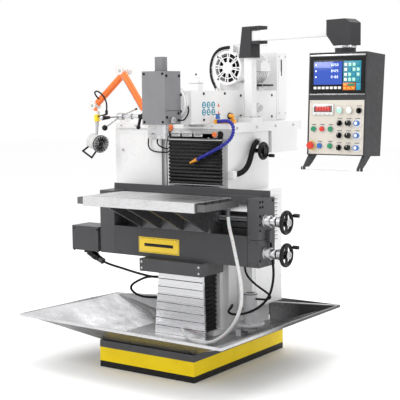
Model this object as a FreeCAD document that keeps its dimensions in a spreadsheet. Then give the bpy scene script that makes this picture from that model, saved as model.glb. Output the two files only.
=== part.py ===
import FreeCAD, Part
import math
import os
import re
import Sketcher

# Knee-type universal tool milling machine. The frame is +X to the operator's right, +Y to the
# rear and +Z up, with the origin on the base underside, in the centre plane of the column and
# close to the middle of the base. Lengths are millimetres.

DIMS = {
    # base and tray
    "base_left": -366, "base_right": 338, "base_front": -484, "base_rear": 518, "base_top": 165,
    "tank_depth": 125, "wall_base": 50,
    "anchor_x": 290, "anchor_y": 440, "anchor_radius": 9, "anchor_depth": 60,
    "sheet": 3, "tray_floor": 168, "tray_rim": 317, "rim_width": 10, "rim_height": 14,
    # column and ram bed
    "column_half_x": 218, "column_front": 66, "column_rear": 545, "column_top": 1412,
    "way_front": 40, "way_inner": 110, "way_outer": 170, "slot_half": 70, "slot_rear": 190,
    "core_half_x": 180, "core_front": 230, "core_rear": 505, "core_top": 1385,
    "bed_half_x": 230, "bed_front": 60, "bed_rear": 955, "bed_top": 1472, "key_half": 60,
    "key_depth": 20, "drive_box_front": 562, "drive_box_rear": 895, "drive_box_low": 1269,
    # cabinets
    "left_cab_in": -236, "left_cab_out": -665, "left_cab_front": 60, "left_cab_rear": 390,
    "left_cab_low": 620, "left_cab_high": 1438, "right_cab_in": 220, "right_cab_out": 330,
    "right_cab_front": 160, "right_cab_rear": 520, "right_cab_low": 320, "right_cab_high": 1050,
    # knee
    "knee_low": 649, "knee_high": 1050, "knee_front": -190, "knee_rear": -15, "knee_back": -60,
    "end_left": -597, "end_inner_left": -480, "end_inner_right": 519, "end_right": 597,
    "saddle_half": 190, "saddle_rear": 62, "apron_half": 233, "apron_front": -253, "apron_low": 570,
    "cover_high": 830, "cover_back": -176, "rail_half": 588, "rail_high": 1087,
    "drive_left": -832, "drive_right": -609, "drive_front": -200, "drive_low": 651,
    "drive_high": 810, "lift_screw_y": -20, "lift_screw_radius": 20, "screw_gap": 0.05,
    "feed_y": -127, "feed_z": 918, "feed_screw_radius": 16, "wheel_z": 730, "wheel_x": 742,
    "wheel_radius": 60, "rim_radius": 11, "hub_radius": 34,
    # table
    "slide_half": 265, "slide_front": -172, "slide_rear": -84, "slide_low": 706, "slide_high": 1006,
    "table_half": 408, "table_front": -566, "table_rear": -193, "table_top": 1052, "table_low": 995,
    "flange_back": -172.2, "slot_width": 14, "slot_deep": 30, "tee_width": 24, "tee_height": 11,
    "slot_pitch": 72, "trough_end": 468, "trough_front": -548, "trough_rear": -200,
    # ram and head
    "ram_half": 100, "ram_front": -150, "ram_rear": 842, "ram_top": 1673, "belt_rear": 972,
    "belt_top": 1932, "motor_z": 1819, "motor_front": 396, "motor_rear": 762, "motor_radius": 107,
    "head_half": 84, "head_front": -390, "head_rear": -235, "head_low": 1476, "head_high": 1788,
    "spindle_y": -312, "quill_radius": 42, "spindle_radius": 26, "taper_mouth": 16,
    "nose_low": 1393, "quill_low": 1420,
    # pendant
    "post_x": 178, "post_y": 390, "post_half": 28, "post_top": 1878, "arm_low": 1980,
    "arm_high": 2044, "elbow_top": 2072, "pivot_radius": 18, "arm_length": 803, "arm_turn": 15,
    "case_width": 366, "case_depth": 231, "case_low": 1297, "case_high": 1881, "case_lean": 3,
}

doc = FreeCAD.newDocument("milling_machine")
sheet = doc.addObject("Spreadsheet::Sheet", "dims")
for row, (alias, value) in enumerate(DIMS.items(), start=1):
    sheet.set("A%d" % row, alias)
    sheet.set("B%d" % row, str(value))
    sheet.setAlias("B%d" % row, alias)
doc.recompute()

SCRATCH = "D1"
PARTS = {}
AXES = {
    "x": FreeCAD.Rotation(FreeCAD.Vector(0, 1, 0), 90),
    "y": FreeCAD.Rotation(FreeCAD.Vector(1, 0, 0), -90),
    "z": FreeCAD.Rotation(),
}


def bound(expression):
    """The expression with each alias pointed at the sheet."""
    text = str(expression)
    return re.sub(r"[a-z_]+[a-z0-9_]*", lambda m: ("dims." if m.group(0) in DIMS else "") + m.group(0),
                  text)


def number(expression):
    """The value of an expression, worked out by a scratch cell of the same sheet."""
    sheet.set(SCRATCH, "=" + str(expression))
    sheet.recompute()
    total = sheet.get(SCRATCH)
    return float(getattr(total, "Value", total))


def place(shape, x, y, z):
    """The shape, with its position bound to three expressions."""
    for axis, value in zip("xyz", (x, y, z)):
        shape.setExpression("Placement.Base." + axis, bound(value))
    return shape


def box(x, y, z):
    """A box between two expressions on each axis."""
    shape = doc.addObject("Part::Box", "Box")
    for name, (low, high) in zip(("Length", "Width", "Height"), (x, y, z)):
        shape.setExpression(name, bound("(%s) - (%s)" % (high, low)))
    return place(shape, x[0], y[0], z[0])


def rod(axis, centre, radius, length):
    """A cylinder along an axis from its starting centre."""
    shape = doc.addObject("Part::Cylinder", "Rod")
    shape.Placement.Rotation = AXES[axis]
    shape.setExpression("Radius", bound(radius))
    shape.setExpression("Height", bound(length))
    return place(shape, *centre)


def cone(axis, centre, radius1, radius2, length):
    """A cone along an axis, from its first radius to its second."""
    shape = doc.addObject("Part::Cone", "Cone")
    shape.Placement.Rotation = AXES[axis]
    shape.setExpression("Radius1", bound(radius1))
    shape.setExpression("Radius2", bound(radius2))
    shape.setExpression("Height", bound(length))
    return place(shape, *centre)


def ring(axis, centre, radius, tube):
    """A torus around an axis."""
    shape = doc.addObject("Part::Torus", "Ring")
    shape.Placement.Rotation = AXES[axis]
    shape.setExpression("Radius1", bound(radius))
    shape.setExpression("Radius2", bound(tube))
    return place(shape, *centre)


def ball(centre, radius):
    """A sphere."""
    shape = doc.addObject("Part::Sphere", "Ball")
    shape.setExpression("Radius", bound(radius))
    return place(shape, *centre)


def wedge(axis, outline, start, length):
    """A prism: a sketch of expression pairs on the plane across the x or z axis, padded."""
    role = {"x": "YZ_Plane", "z": "XY_Plane"}[axis]
    body = doc.addObject("PartDesign::Body", "Prism")
    sketch = body.newObject("Sketcher::SketchObject", "Outline")
    plane = [f for f in body.Origin.OriginFeatures if f.Role == role][0]
    sketch.AttachmentSupport = (plane, [""])
    sketch.MapMode = "FlatFace"
    values = [FreeCAD.Vector(number(a), number(b), 0) for a, b in outline]
    count = len(values)
    for i in range(count):
        sketch.addGeometry(Part.LineSegment(values[i], values[(i + 1) % count]), False)
    for i in range(count):
        sketch.addConstraint(Sketcher.Constraint("Coincident", i, 2, (i + 1) % count, 1))
        for kind, index in (("DistanceX", 0), ("DistanceY", 1)):
            datum = Sketcher.Constraint(kind, -1, 1, i, 1, values[i][index])
            made = sketch.addConstraint(datum)
            sketch.setExpression("Constraints[%d]" % made, bound(outline[i][index]))
    pad = body.newObject("PartDesign::Pad", "Pad")
    pad.Profile = sketch
    pad.setExpression("Length", bound(length))
    body.setExpression("Placement.Base." + axis, bound(start))
    return body


def fuse(*shapes):
    if len(shapes) == 1:
        return shapes[0]
    joined = doc.addObject("Part::MultiFuse", "Fuse")
    joined.Shapes = list(shapes)
    return joined


def cut(base, *tools):
    """The base with every tool taken away."""
    result = doc.addObject("Part::Cut", "Cut")
    result.Base = base
    result.Tool = fuse(*tools)
    return result


def group(*shapes):
    """Separate solids kept in one node."""
    joined = doc.addObject("Part::Compound", "Group")
    joined.Links = list(shapes)
    return joined


def shaped(shape, name="Shaped"):
    """A feature whose shape comes from Part's own functions."""
    feature = doc.addObject("Part::Feature", name)
    feature.Shape = shape
    return feature


def turned(shape, axis, angle, centre):
    """The shape in a wrapper that is turned about a line through a point."""
    wrap = doc.addObject("Part::Compound", "Turned")
    wrap.Links = [shape]
    turn = FreeCAD.Rotation(FreeCAD.Vector(*axis), angle)
    wrap.Placement = FreeCAD.Placement(FreeCAD.Vector(), turn, FreeCAD.Vector(*centre))
    return wrap


def part(label, feature):
    """Names a feature as one node of the machine."""
    PARTS[label] = feature
    feature.Label = label
    return feature


def inset(points, distance):
    """A polygon, listed anticlockwise, with every side moved inwards."""
    count = len(points)
    moved = []
    for i in range(count):
        before, here, after = points[i - 1], points[i], points[(i + 1) % count]
        normals = []
        for start, end in ((before, here), (here, after)):
            length = math.dist(start, end)
            normals.append(((start[1] - end[1]) / length, (end[0] - start[0]) / length))
        scale = distance / (1 + normals[0][0] * normals[1][0] + normals[0][1] * normals[1][1])
        moved.append(tuple(here[k] + scale * (normals[0][k] + normals[1][k]) for k in (0, 1)))
    return moved


def funnel(low_points, low_z, high_points, high_z):
    """A solid between two polygons of the same number of corners, with triangular sides."""
    low = [FreeCAD.Vector(x, y, low_z) for x, y in low_points]
    high = [FreeCAD.Vector(x, y, high_z) for x, y in high_points]
    faces = [Part.Face(Part.makePolygon(low + low[:1])), Part.Face(Part.makePolygon(high + high[:1]))]
    for i in range(len(low)):
        j = (i + 1) % len(low)
        faces.append(Part.Face(Part.makePolygon([low[i], low[j], high[j], low[i]])))
        faces.append(Part.Face(Part.makePolygon([low[i], high[j], high[i], low[i]])))
    solid = Part.Solid(Part.Shell(faces))
    if solid.Volume < 0:
        solid.reverse()
    return solid


def prism(points, low_z, high_z):
    """An upright solid over a polygon of numbers."""
    corners = [FreeCAD.Vector(x, y, low_z) for x, y in points]
    return Part.Face(Part.makePolygon(corners + corners[:1])).extrude(FreeCAD.Vector(0, 0, high_z - low_z))


ARC_SHARE = 0.45


def pipe(route, diameter):
    """A round tube of straight runs joined by arcs as large as the runs allow, and its radii."""
    points = [FreeCAD.Vector(*p) for p in route]
    edges, start, radii = [], points[0], []
    for before, here, after in zip(points, points[1:], points[2:]):
        one, two = (here - before), (after - here)
        reach = ARC_SHARE * min(one.Length, two.Length)
        radius = reach / math.tan(one.getAngle(two) / 2)
        radii.append(radius)
        into, out = FreeCAD.Vector(one).normalize(), FreeCAD.Vector(two).normalize()
        inward = (out - into).normalize()
        centre = here + inward * (radius / math.cos(one.getAngle(two) / 2))
        first, last = here - into * reach, here + out * reach
        edges.append(Part.LineSegment(start, first).toShape())
        edges.append(Part.Arc(first, centre - inward * radius, last).toShape())
        start = last
    edges.append(Part.LineSegment(start, points[-1]).toShape())
    path = Part.Wire(edges)
    circle = Part.makeCircle(diameter / 2, points[0], points[1] - points[0])
    solid = path.makePipeShell([Part.Wire(circle)], True, False)
    return solid, radii, path.Length


def tube(label, *cords):
    """A node of one or more cords, with the bends and volume of each printed for checking."""
    solids = []
    for route, diameter in cords:
        solid, radii, length = pipe(route, diameter)
        expected = math.pi * diameter ** 2 / 4 * length
        print(label, "radii in diameters", [round(radius / diameter, 1) for radius in radii],
              "length", round(length), "volume ratio", round(solid.Volume / expected, 4))
        solids.append(shaped(solid))
    return part(label, group(*solids) if len(solids) > 1 else solids[0])


# ---- base, tray and column -------------------------------------------------------------------

def make_base():
    """The cast base with its coolant tank and foundation holes."""
    block = box(("base_left", "base_right"), ("base_front", "base_rear"), (0, "base_top"))
    tank = box(("base_left + wall_base", "base_right - wall_base"),
               ("base_front + wall_base", "way_front - 60"), ("base_top - tank_depth", "base_top + 1"))
    holes = [rod("z", (sx + "anchor_x", sy + "anchor_y", -1), "anchor_radius", "anchor_depth + 1")
             for sx in ("", "-") for sy in ("", "-")]
    part("base", cut(block, tank, *holes))


TRAY_FLOOR = [(-360, -478), (332, -478), (332, 545), (-262, 545), (-262, 230), (-355, 130), (-360, -104)]
TRAY_RIM = [(-805, -712), (714, -764), (723, 562), (-290, 562), (-290, 270), (-734, 124), (-765, -104)]


def make_tray():
    """The folded chip tray around the column's foot, with a flat rim."""
    low, high, sheet_t = number("tray_floor"), number("tray_rim"), number("sheet")
    outer = funnel(TRAY_FLOOR, low, TRAY_RIM, high)
    inner = funnel(inset(TRAY_FLOOR, sheet_t), low + sheet_t, inset(TRAY_RIM, sheet_t), high)
    shell = outer.cut(inner)
    rim = prism(inset(TRAY_RIM, -6), high - number("rim_height"), high + 2)
    rim = rim.cut(prism(inset(TRAY_RIM, number("rim_width") - 6), high - 20, high + 3))
    rim = rim.cut(inner)
    opening = Part.makeBox(442, 512, 40, FreeCAD.Vector(-221, 37, low - 10))
    part("chip_tray", shaped(shell.fuse(rim).cut(opening).removeSplitter(), "chip_tray"))


def make_column():
    """The hollow column with its two vertical ways and the screw's slot between them."""
    outline = [("-column_half_x", "column_rear"), ("-column_half_x", "column_front"),
               ("-way_outer", "column_front"), ("-way_outer", "way_front"), ("-way_inner", "way_front"),
               ("-way_inner", "column_front"), ("-slot_half", "column_front"), ("-slot_half", "slot_rear"),
               ("slot_half", "slot_rear"), ("slot_half", "column_front"), ("way_inner", "column_front"),
               ("way_inner", "way_front"), ("way_outer", "way_front"), ("way_outer", "column_front"),
               ("column_half_x", "column_front"), ("column_half_x", "column_rear")]
    post = wedge("z", outline, "base_top", "column_top - base_top")
    core = box(("-core_half_x", "core_half_x"), ("core_front", "core_rear"), ("base_top - 1", "core_top"))
    strip = box((-206, 206), (34, "column_front"), (1376, "column_top"))
    glands = [box(("column_half_x", "column_half_x + 44"), (58, 98.5), (1134, 1181)),
              box(("column_half_x", "column_half_x + 42"), (375.2, 400), (1328, 1374))]
    foot = box((-190, 190), (-62, "column_front + 5"), ("tray_floor + sheet", 200))
    part("column", cut(fuse(post, strip, foot, *glands), core))


def make_bed():
    """The bed the ram slides on, bolted over the column, with the lamp's bracket."""
    slab = box(("-bed_half_x", "bed_half_x"), ("bed_front", "bed_rear"), ("column_top", "bed_top"))
    slot = box(("-key_half", "key_half"), ("bed_front - 30", "bed_rear + 1"),
               ("bed_top - key_depth", "bed_top + 1"))
    drive = box(("-bed_half_x + 90", "bed_half_x"), ("drive_box_front", "drive_box_rear"),
                ("drive_box_low", "column_top"))
    rib = box(("-bed_half_x", "-bed_half_x + 90"), ("drive_box_front", "drive_box_front + 60"),
              (1330, "column_top"))
    front_bar = box(("left_cab_out + 20", "bed_half_x"), (40, 100), ("left_cab_high", "bed_top - 0.5"))
    lamp_arm = box((-318, -282), (-84, 90), ("left_cab_high + 6", 1500))
    lamp_seat = rod("z", (-300, -65, 1500), 17, 20)
    part("ram_bed", cut(fuse(slab, drive, rib, front_bar, lamp_arm, lamp_seat), slot))


def make_cabinets():
    """The two electrical cabinets on the column's sides."""
    body = box(("left_cab_out", "left_cab_in"), ("left_cab_front + 22", "left_cab_rear"),
               ("left_cab_low", "left_cab_high"))
    door = box(("left_cab_out", "left_cab_out + 300"), ("left_cab_front", "left_cab_front + 24"),
               ("left_cab_low", "left_cab_high"))
    side = box(("left_cab_in - 2", "-column_half_x"), (120, 330), (760, 1380))
    junction = box((-664, -612), (101, 150), ("left_cab_high", "left_cab_high + 66"))
    part("electric_cabinet", fuse(body, door, side, junction))
    body = box(("right_cab_in", "right_cab_out"), ("right_cab_front", "right_cab_rear"),
               ("right_cab_low", "right_cab_high"))
    side = box(("column_half_x", "right_cab_in"), (200, 480), (400, 980))
    louvers = [box(("right_cab_out - 2", "right_cab_out + 5"), (430, 500), (946 + 17 * i, 952 + 17 * i))
               for i in range(5)]
    part("power_cabinet", fuse(body, side, *louvers))


# ---- covers over the vertical ways -----------------------------------------------------------

def bellows(x, y, z, pitch, step):
    """A pleated boot: a stack of full and narrow layers fused into one solid."""
    layers = []
    low, high = z
    while low < high - 1e-6:
        top = min(low + pitch / 2, high)
        layers.append(box(x, y, (low, top)))
        low = top
        if low < high - 1e-6:
            top = min(low + pitch / 2, high)
            layers.append(box((x[0] + step, x[1] - step), (y[0] + step, y[1]), (low, top)))
            low = top
    return fuse(*layers)


SLAT_COUNT = 8
SLAT_LOW = 172
SLAT_PITCH = 49
SLAT_LAP = 4
SLAT_STEP = 3.0
SLAT_HALF = 190
SLAT_FRONT = -156
SLAT_SHEET = 2.5


def make_way_covers():
    """The pleated boots above and below the knee, and the sheet steel slats in front of the lower one."""
    part("upper_bellows", bellows((-206, 206), (22, 34), (1088, 1374), 22, 5))
    slats = []
    for i in range(SLAT_COUNT):
        low = SLAT_LOW + SLAT_PITCH * i
        inner = SLAT_STEP * i
        front = SLAT_FRONT + inner
        slats.append(box((-SLAT_HALF + inner, SLAT_HALF - inner), (front, front + SLAT_SHEET),
                         (low, low + SLAT_PITCH + SLAT_LAP)))
    part("lower_way_cover", group(*slats))
    boot = bellows((-165, 165), (-130, 30), (202, 566), 28, 10)
    hole = box((-60, 60), (-80, 31), (201, 567))
    part("lower_bellows", cut(boot, hole))


# ---- knee ------------------------------------------------------------------------------------

def make_knee():
    """The knee: the frame that rises on the ways and carries the table's slide."""
    left = box(("end_left", "end_inner_left"), ("knee_front", "knee_rear"), ("knee_low", "knee_high"))
    back = box(("end_inner_left", "end_inner_right"), ("knee_back", "knee_rear"), ("knee_low", "knee_high"))
    floor = box(("end_inner_left", "end_inner_right"), ("cover_back", "knee_back"),
                ("knee_low", "knee_low + 46"))
    way_low = box(("end_inner_left", "end_inner_right"), (-82, "knee_back"), (735, 780))
    way_high = box(("end_inner_left", "end_inner_right"), (-82, "knee_back"), (955, 1000))
    saddle = box(("-saddle_half", "saddle_half"), ("knee_rear", "way_front - 0.3"),
                 ("apron_low", "knee_high + 32"))
    jaws = [box((low, high), ("way_front - 1", "saddle_rear"), ("knee_low", "knee_high"))
            for low, high in (("way_outer + 0.1", "saddle_half"), ("-saddle_half", "-way_outer - 0.1"))]
    apron = box(("-apron_half", "apron_half"), ("apron_front", "knee_rear"), ("apron_low", "knee_low"))
    rail = box(("-rail_half", "rail_half"), (-56, -46), ("knee_high", "rail_high"))
    screw_bore = rod("z", (0, "lift_screw_y", "apron_low - 1"), "lift_screw_radius + screw_gap", 700)
    cover_room = box((-192, 192), (-160, 36), ("apron_low - 1", "knee_low - 14"))
    feed_bore = rod("x", ("end_left - 1", "feed_y", "feed_z"), "feed_screw_radius + screw_gap",
                    "end_inner_left - end_left + 2")
    body = fuse(left, back, floor, way_low, way_high, saddle, apron, rail, *jaws)
    part("knee", cut(body, screw_bore, cover_room, feed_bore))


def make_knee_fittings():
    """The knee's front cover, right gearbox, left motor cover and lifting screw."""
    part("front_cover", box(("end_inner_left", "end_inner_right"), ("knee_front", "cover_back"),
                            ("knee_low", "cover_high")))
    block = box(("end_inner_right", "end_right"), ("knee_front", "knee_rear"), ("knee_low", "knee_high"))
    hubs = [rod("x", ("end_right", "feed_y", level), "hub_radius", 46) for level in ("feed_z", "wheel_z")]
    steps = [rod("x", ("end_right + 46", "feed_y", level), "hub_radius - 6", 36)
             for level in ("feed_z", "wheel_z")]
    guard = box(("end_right", "end_right + 22"), (-106, -50), (790, 860))
    bores = [rod("x", ("end_inner_right - 1", "feed_y", level), "feed_screw_radius + screw_gap", 200)
             for level in ("feed_z", "wheel_z")]
    part("feed_gearbox", cut(fuse(block, guard, *hubs, *steps), *bores))
    motor_box = box(("drive_left", "drive_right"), ("drive_front", -30), ("drive_low", "drive_high"))
    seal = box(("drive_right", "end_left"), (-185, -40), (665, 800))
    plug = box((-765, -700), (-162, -116), (630, "drive_low"))
    connector = link((-742, -140, 634), (-624, -137, 578), 20)
    part("feed_drive_cover", fuse(motor_box, seal, plug, connector))
    part("lifting_screw", fuse(rod("z", (0, "lift_screw_y", 201), "lift_screw_radius", 729),
                               rod("z", (0, "lift_screw_y", 200), 15, 1)))


def handwheel(hub, direction, radius="wheel_radius"):
    """A cast wheel on an axis along X: rim, spokes, boss and a turning grip."""
    x, y, z = hub
    grip_y, grip_z = "%s + %s * %s" % (y, radius, direction[0]), "%s + %s * %s" % (z, radius, direction[1])
    return [ring("x", hub, radius, "rim_radius"),
            rod("x", ("%s - 16" % x, y, z), 22, 34),
            box(("%s - 5" % x, "%s + 5" % x), ("%s - %s" % (y, radius), "%s + %s" % (y, radius)),
                ("%s - 9" % z, "%s + 9" % z)),
            box(("%s - 5" % x, "%s + 5" % x), ("%s - 9" % y, "%s + 9" % y),
                ("%s - %s" % (z, radius), "%s + %s" % (z, radius))),
            rod("x", (x, grip_y, grip_z), 5, 24),
            rod("x", ("%s + 22" % x, grip_y, grip_z), 11, 34)]


def make_handwheels():
    """The three handwheels and the screw that feeds the table."""
    wheel = handwheel(("wheel_x", "feed_y", "feed_z"), (0.78, 0.62))
    bore = rod("x", ("wheel_x - 60", "feed_y", "feed_z"), "feed_screw_radius", 100)
    screw = rod("x", ("end_left + 4", "feed_y", "feed_z"), "feed_screw_radius", "wheel_x - end_left")
    part("table_handwheel", cut(fuse(*wheel), bore))
    part("table_screw", screw)
    wheel = handwheel(("wheel_x", "feed_y", "wheel_z"), (0.7, 0.71))
    shaft = rod("x", ("end_inner_right + 4", "feed_y", "wheel_z"), "feed_screw_radius",
                "wheel_x - end_inner_right")
    part("knee_handwheel", fuse(shaft, *wheel))
    wheel = handwheel((300, 345, 1294), (0.75, -0.66), 47)
    shaft = rod("x", ("column_half_x + 0.3", 345, 1294), 14, 82)
    part("ram_handwheel", fuse(shaft, *wheel))


# ---- table -----------------------------------------------------------------------------------

def make_table():
    """The table's slide, and the angle table with its T slots, troughs and ribs."""
    slide = box(("-slide_half", "slide_half"), ("slide_front", "slide_rear"),
                ("slide_low", "slide_high - 12"))
    nut = rod("x", ("-slide_half - 20", "feed_y", "feed_z"), 34, "2 * slide_half + 40")
    bore = rod("x", ("-slide_half - 21", "feed_y", "feed_z"), "feed_screw_radius + screw_gap",
               "2 * slide_half + 42")
    part("table_slide", cut(fuse(slide, nut), bore))
    top = box(("-table_half", "table_half"), ("table_front", "table_rear"), ("table_low", "table_top"))
    cuts = []
    for i in range(5):
        centre = "(table_front + table_rear) / 2 + %d * slot_pitch" % (i - 2)
        cuts.append(box(("-table_half - 1", "table_half + 1"),
                        (centre + " - slot_width / 2", centre + " + slot_width / 2"),
                        ("table_top - slot_deep", "table_top + 1")))
        cuts.append(box(("-table_half - 1", "table_half + 1"),
                        (centre + " - tee_width / 2", centre + " + tee_width / 2"),
                        ("table_top - slot_deep", "table_top - slot_deep + tee_height")))
    plate = box(("-slide_half - 20", "slide_half"), (-199, "flange_back"), ("cover_high + 3", "table_low"))
    ribs = [wedge("x", [(-535, "table_low"), (-198, "table_low"), (-198, "cover_high + 5")], start, 16)
            for start in (-262, -120, 50, 228)]
    solids = [cut(top, *cuts), plate] + ribs
    for side, (near, far) in (("right", ("table_half", "trough_end")),
                              ("left", ("-trough_end", "-table_half"))):
        pan = box((near, far), ("trough_front", "trough_rear"), (1002, 1042))
        hollow = box(("%s + 5" % near if side == "left" else near, far
                      if side == "left" else "%s - 5" % far),
                     ("trough_front + 5", "trough_rear - 5"), (1007, 1043))
        solids.append(cut(pan, hollow))
    spout = rod("z", (452, -290, 952), 12, 52)
    part("angle_table", fuse(*solids, spout))


# ---- ram and vertical head -------------------------------------------------------------------

def make_ram():
    """The ram with its swivel flange, and the belt cover at its rear."""
    body = box(("-ram_half", "ram_half"), ("ram_front", "ram_rear"), ("bed_top + 0.1", "ram_top"))
    key = box(("-key_half + 0.3", "key_half - 0.3"), (62, 900),
              ("bed_top - key_depth + 0.3", "bed_top + 1"))
    nose = rod("y", (0, "head_rear", 1600), 84, "ram_front - head_rear")
    swivel = rod("y", (0, "head_rear + 0.2", 1600), 112, 36)
    fuse_box = box((-56, 10), (48, 104), ("ram_top", "ram_top + 56"))
    pads = [box((-95, 95), (low, low + 60), ("ram_top", "motor_z - motor_radius + 12"))
            for low in (450, 630)]
    cradle = cut(fuse(*pads), rod("y", (0, 440, "motor_z"), "motor_radius + 0.1", 260))
    hub = rod("x", ("ram_half", 600, 1560), 22, 26)
    part("ram", fuse(body, key, nose, swivel, fuse_box, hub, cradle))
    cover = box(("-ram_half - 4", "ram_half + 4"), ("ram_rear", "belt_rear"), ("bed_top + 2", "belt_top"))
    slot = box(("ram_half + 1", "ram_half + 6"), ("ram_rear + 50", "ram_rear + 62"), (1800, 1880))
    part("belt_cover", cut(cover, slot))


MOTOR_LEAD = [(12, 405, 1949), (-42, 405, 1950), (-99, 405, 1915), (-130, 405, 1856), (-134, 405, 1790),
              (-120, 405, 1736), (-98, 405, 1702), (-88, 405, 1672)]


def make_motor():
    """The spindle motor on the ram, with its fan."""
    barrel = rod("y", (0, "motor_front + 56", "motor_z"), "motor_radius - 8",
                 "motor_rear - motor_front - 56")
    fins = [rod("y", (0, "motor_front + 96 + %d" % (24 * i), "motor_z"), "motor_radius", 6)
            for i in range(11)]
    cowl = cut(rod("y", (0, "motor_front", "motor_z"), "motor_radius", 80),
               rod("y", (0, "motor_front - 1", "motor_z"), "motor_radius - 14", 50))
    spider = [turned(box(("-motor_radius + 8", "motor_radius - 8"), ("motor_front + 1", "motor_front + 5"),
                         ("motor_z - 4", "motor_z + 4")),
                     (0, 1, 0), 45 * i, (0, 0, number("motor_z"))) for i in range(4)]
    disc = rod("y", (0, "motor_front + 1", "motor_z"), 38, 4)
    shaft = rod("y", (0, "motor_rear", "motor_z"), 14, "ram_rear - motor_rear")
    terminal = box(("motor_radius - 20", "motor_radius + 44"), (560, 670), (1796, 1866))
    hood_front = cut(box((-106, 106), ("motor_front + 36", "motor_front + 41"), (1860, 1970)),
                     rod("y", (0, "motor_front + 35", "motor_z"), "motor_radius - 14", 7))
    hood = fuse(box((-106, 106), ("motor_front + 36", "motor_rear - 40"), (1966, 1970)), hood_front)
    elbow = box((12, 44), (396, 414), ("motor_z + motor_radius - 6", 1962))
    lead = pipe(MOTOR_LEAD, 18)[0]
    wiring = cut(shaped(lead), box((-130, -60), (390, 420), (1640, "ram_top + 0.2")))
    socket = box((-99, -76), (394, 416), ("ram_top + 0.2", "ram_top + 16"))
    part("spindle_motor", fuse(barrel, cowl, disc, shaft, terminal, hood, elbow, wiring, socket, *fins,
                               *spider))
    blades = [turned(box((0, 78), ("motor_front + 22", "motor_front + 44"), ("motor_z - 2", "motor_z + 2")),
                     (0, 1, 0), 60 * i, (0, 0, number("motor_z"))) for i in range(6)]
    part("motor_fan", fuse(rod("y", (0, "motor_front + 16", "motor_z"), 26, 32), *blades))


def make_head():
    """The vertical head with its quill, spindle, feed lever and clamp."""
    body = box(("-head_half", "head_half"), ("head_front", "head_rear"), ("head_low", "head_high"))
    cap = box((-26, 26), ("spindle_y - 26", "spindle_y + 26"), ("head_high", 1872))
    bore = rod("z", (0, "spindle_y", "head_low - 1"), "quill_radius + screw_gap", 262)
    lever_bore = rod("x", ("-head_half - 1", "spindle_y + quill_radius - 2", 1521), 12.05, 46)
    cheek = rod("x", ("head_half", -330, 1500), 20, 12)
    part("vertical_head", cut(fuse(body, cap, cheek), bore, lever_bore))
    sleeve = rod("z", (0, "spindle_y", "quill_low"), "quill_radius", 210)
    inner = rod("z", (0, "spindle_y", "quill_low - 1"), "spindle_radius + screw_gap", 212)
    rack = box((-60, -20), ("spindle_y + quill_radius - 14", "spindle_y + quill_radius + 20"), (1492, 1552))
    part("quill", cut(sleeve, inner, rack))
    nose = rod("z", (0, "spindle_y", "nose_low"), 36, "quill_low - nose_low - 0.2")
    shaft = rod("z", (0, "spindle_y", "quill_low - 1"), "spindle_radius", 50)
    taper = cone("z", (0, "spindle_y", "nose_low - 0.1"), "taper_mouth", 11, 70)
    part("spindle", cut(fuse(nose, shaft), taper))
    lever_y = "spindle_y + quill_radius - 2"
    solids = [rod("x", (-330, lever_y, 1521), 12, 286), rod("x", (-366, lever_y, 1521), 21, 44),
              rod("x", (-262, lever_y, 1521), 17, 8)]
    grip = fuse(rod("z", (-350, lever_y, 1521), 5, 110), rod("z", (-350, lever_y, 1627), 9, 12),
                cone("z", (-350, lever_y, 1638), 8, 13, 60), ball((-350, lever_y, 1698), 13))
    knob = fuse(rod("z", (-350, lever_y, 1521), 5, 150), ball((-350, lever_y, 1682), 17))
    bar = rod("z", (-350, lever_y, 1521), 5, 170)
    for spoke, angle in ((grip, 92), (knob, 114), (bar, -75)):
        solids.append(turned(spoke, (1, 0, 0), angle, (0, number(lever_y), 1521)))
    part("quill_lever", fuse(*solids))
    clamp_y = "head_front + 42"
    pin = fuse(rod("x", (-122, clamp_y, 1524), 17, 37.7),
               box((-140, -118), (clamp_y + " - 12", clamp_y + " + 12"), (1512, 1536)))
    arm = turned(fuse(rod("z", (-130, clamp_y, 1524), 9, 66), ball((-130, clamp_y, 1592), 13)),
                 (1, 0, 0), 160, (0, number(clamp_y), 1524))
    part("quill_clamp", fuse(pin, arm))


# ---- lamp ------------------------------------------------------------------------------------

def link(start, end, radius):
    """A round bar between two points in space."""
    low, high = FreeCAD.Vector(*start), FreeCAD.Vector(*end)
    return shaped(Part.makeCylinder(radius, (high - low).Length, low, high - low))


def make_lamp():
    """The jointed work lamp."""
    part("lamp_lower_arm", fuse(rod("z", (-300, -65, 1520.3), 17, 16), rod("y", (-300, -104, 1540), 19, 53),
                                link((-300, -78, 1540), (-478, -78, 1789), 23), rod("y", (-490, -102, 1806),
                                                                                    28, 48)))
    part("lamp_upper_arm", fuse(rod("y", (-490, -53.7, 1806), 28, 49),
                                link((-494, -29, 1803), (-744, -29, 1596), 23),
                                rod("y", (-756, -66, 1586), 27, 61), rod("z", (-726, -53, 1482), 17, 66),
                                link((-750, -53, 1582), (-726, -53, 1540), 12)))
    axis = FreeCAD.Vector(0.95, -0.24, -0.2).normalize()
    centre = FreeCAD.Vector(-688, -70, 1337)
    drum = Part.makeCylinder(46, 92, centre - axis * 92, axis)
    for i in range(5):
        drum = drum.fuse(Part.makeCylinder(50, 7, centre - axis * (20 + 15 * i), axis))
    bezel = Part.makeCylinder(58, 16, centre - axis * 3, axis)
    lens = Part.makeCylinder(46, 6, centre + axis * 9, axis)
    grip = [(-775, -62, 1330), (-806, -108, 1290), (-745, -92, 1247), (-712, -70, 1302)]
    handle = [link(low, high, 5.5) for low, high in zip(grip, grip[1:])]
    corners = [ball(point, 5.5) for point in grip[1:3]]
    part("lamp_head", fuse(rod("z", (-726, -53, 1450), 12, 31.7),
                           link((-726, -53, 1462), tuple(centre - axis * 45), 9),
                           shaped(drum), shaped(bezel.cut(lens)), *handle, *corners))


# ---- pendant ---------------------------------------------------------------------------------

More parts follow.
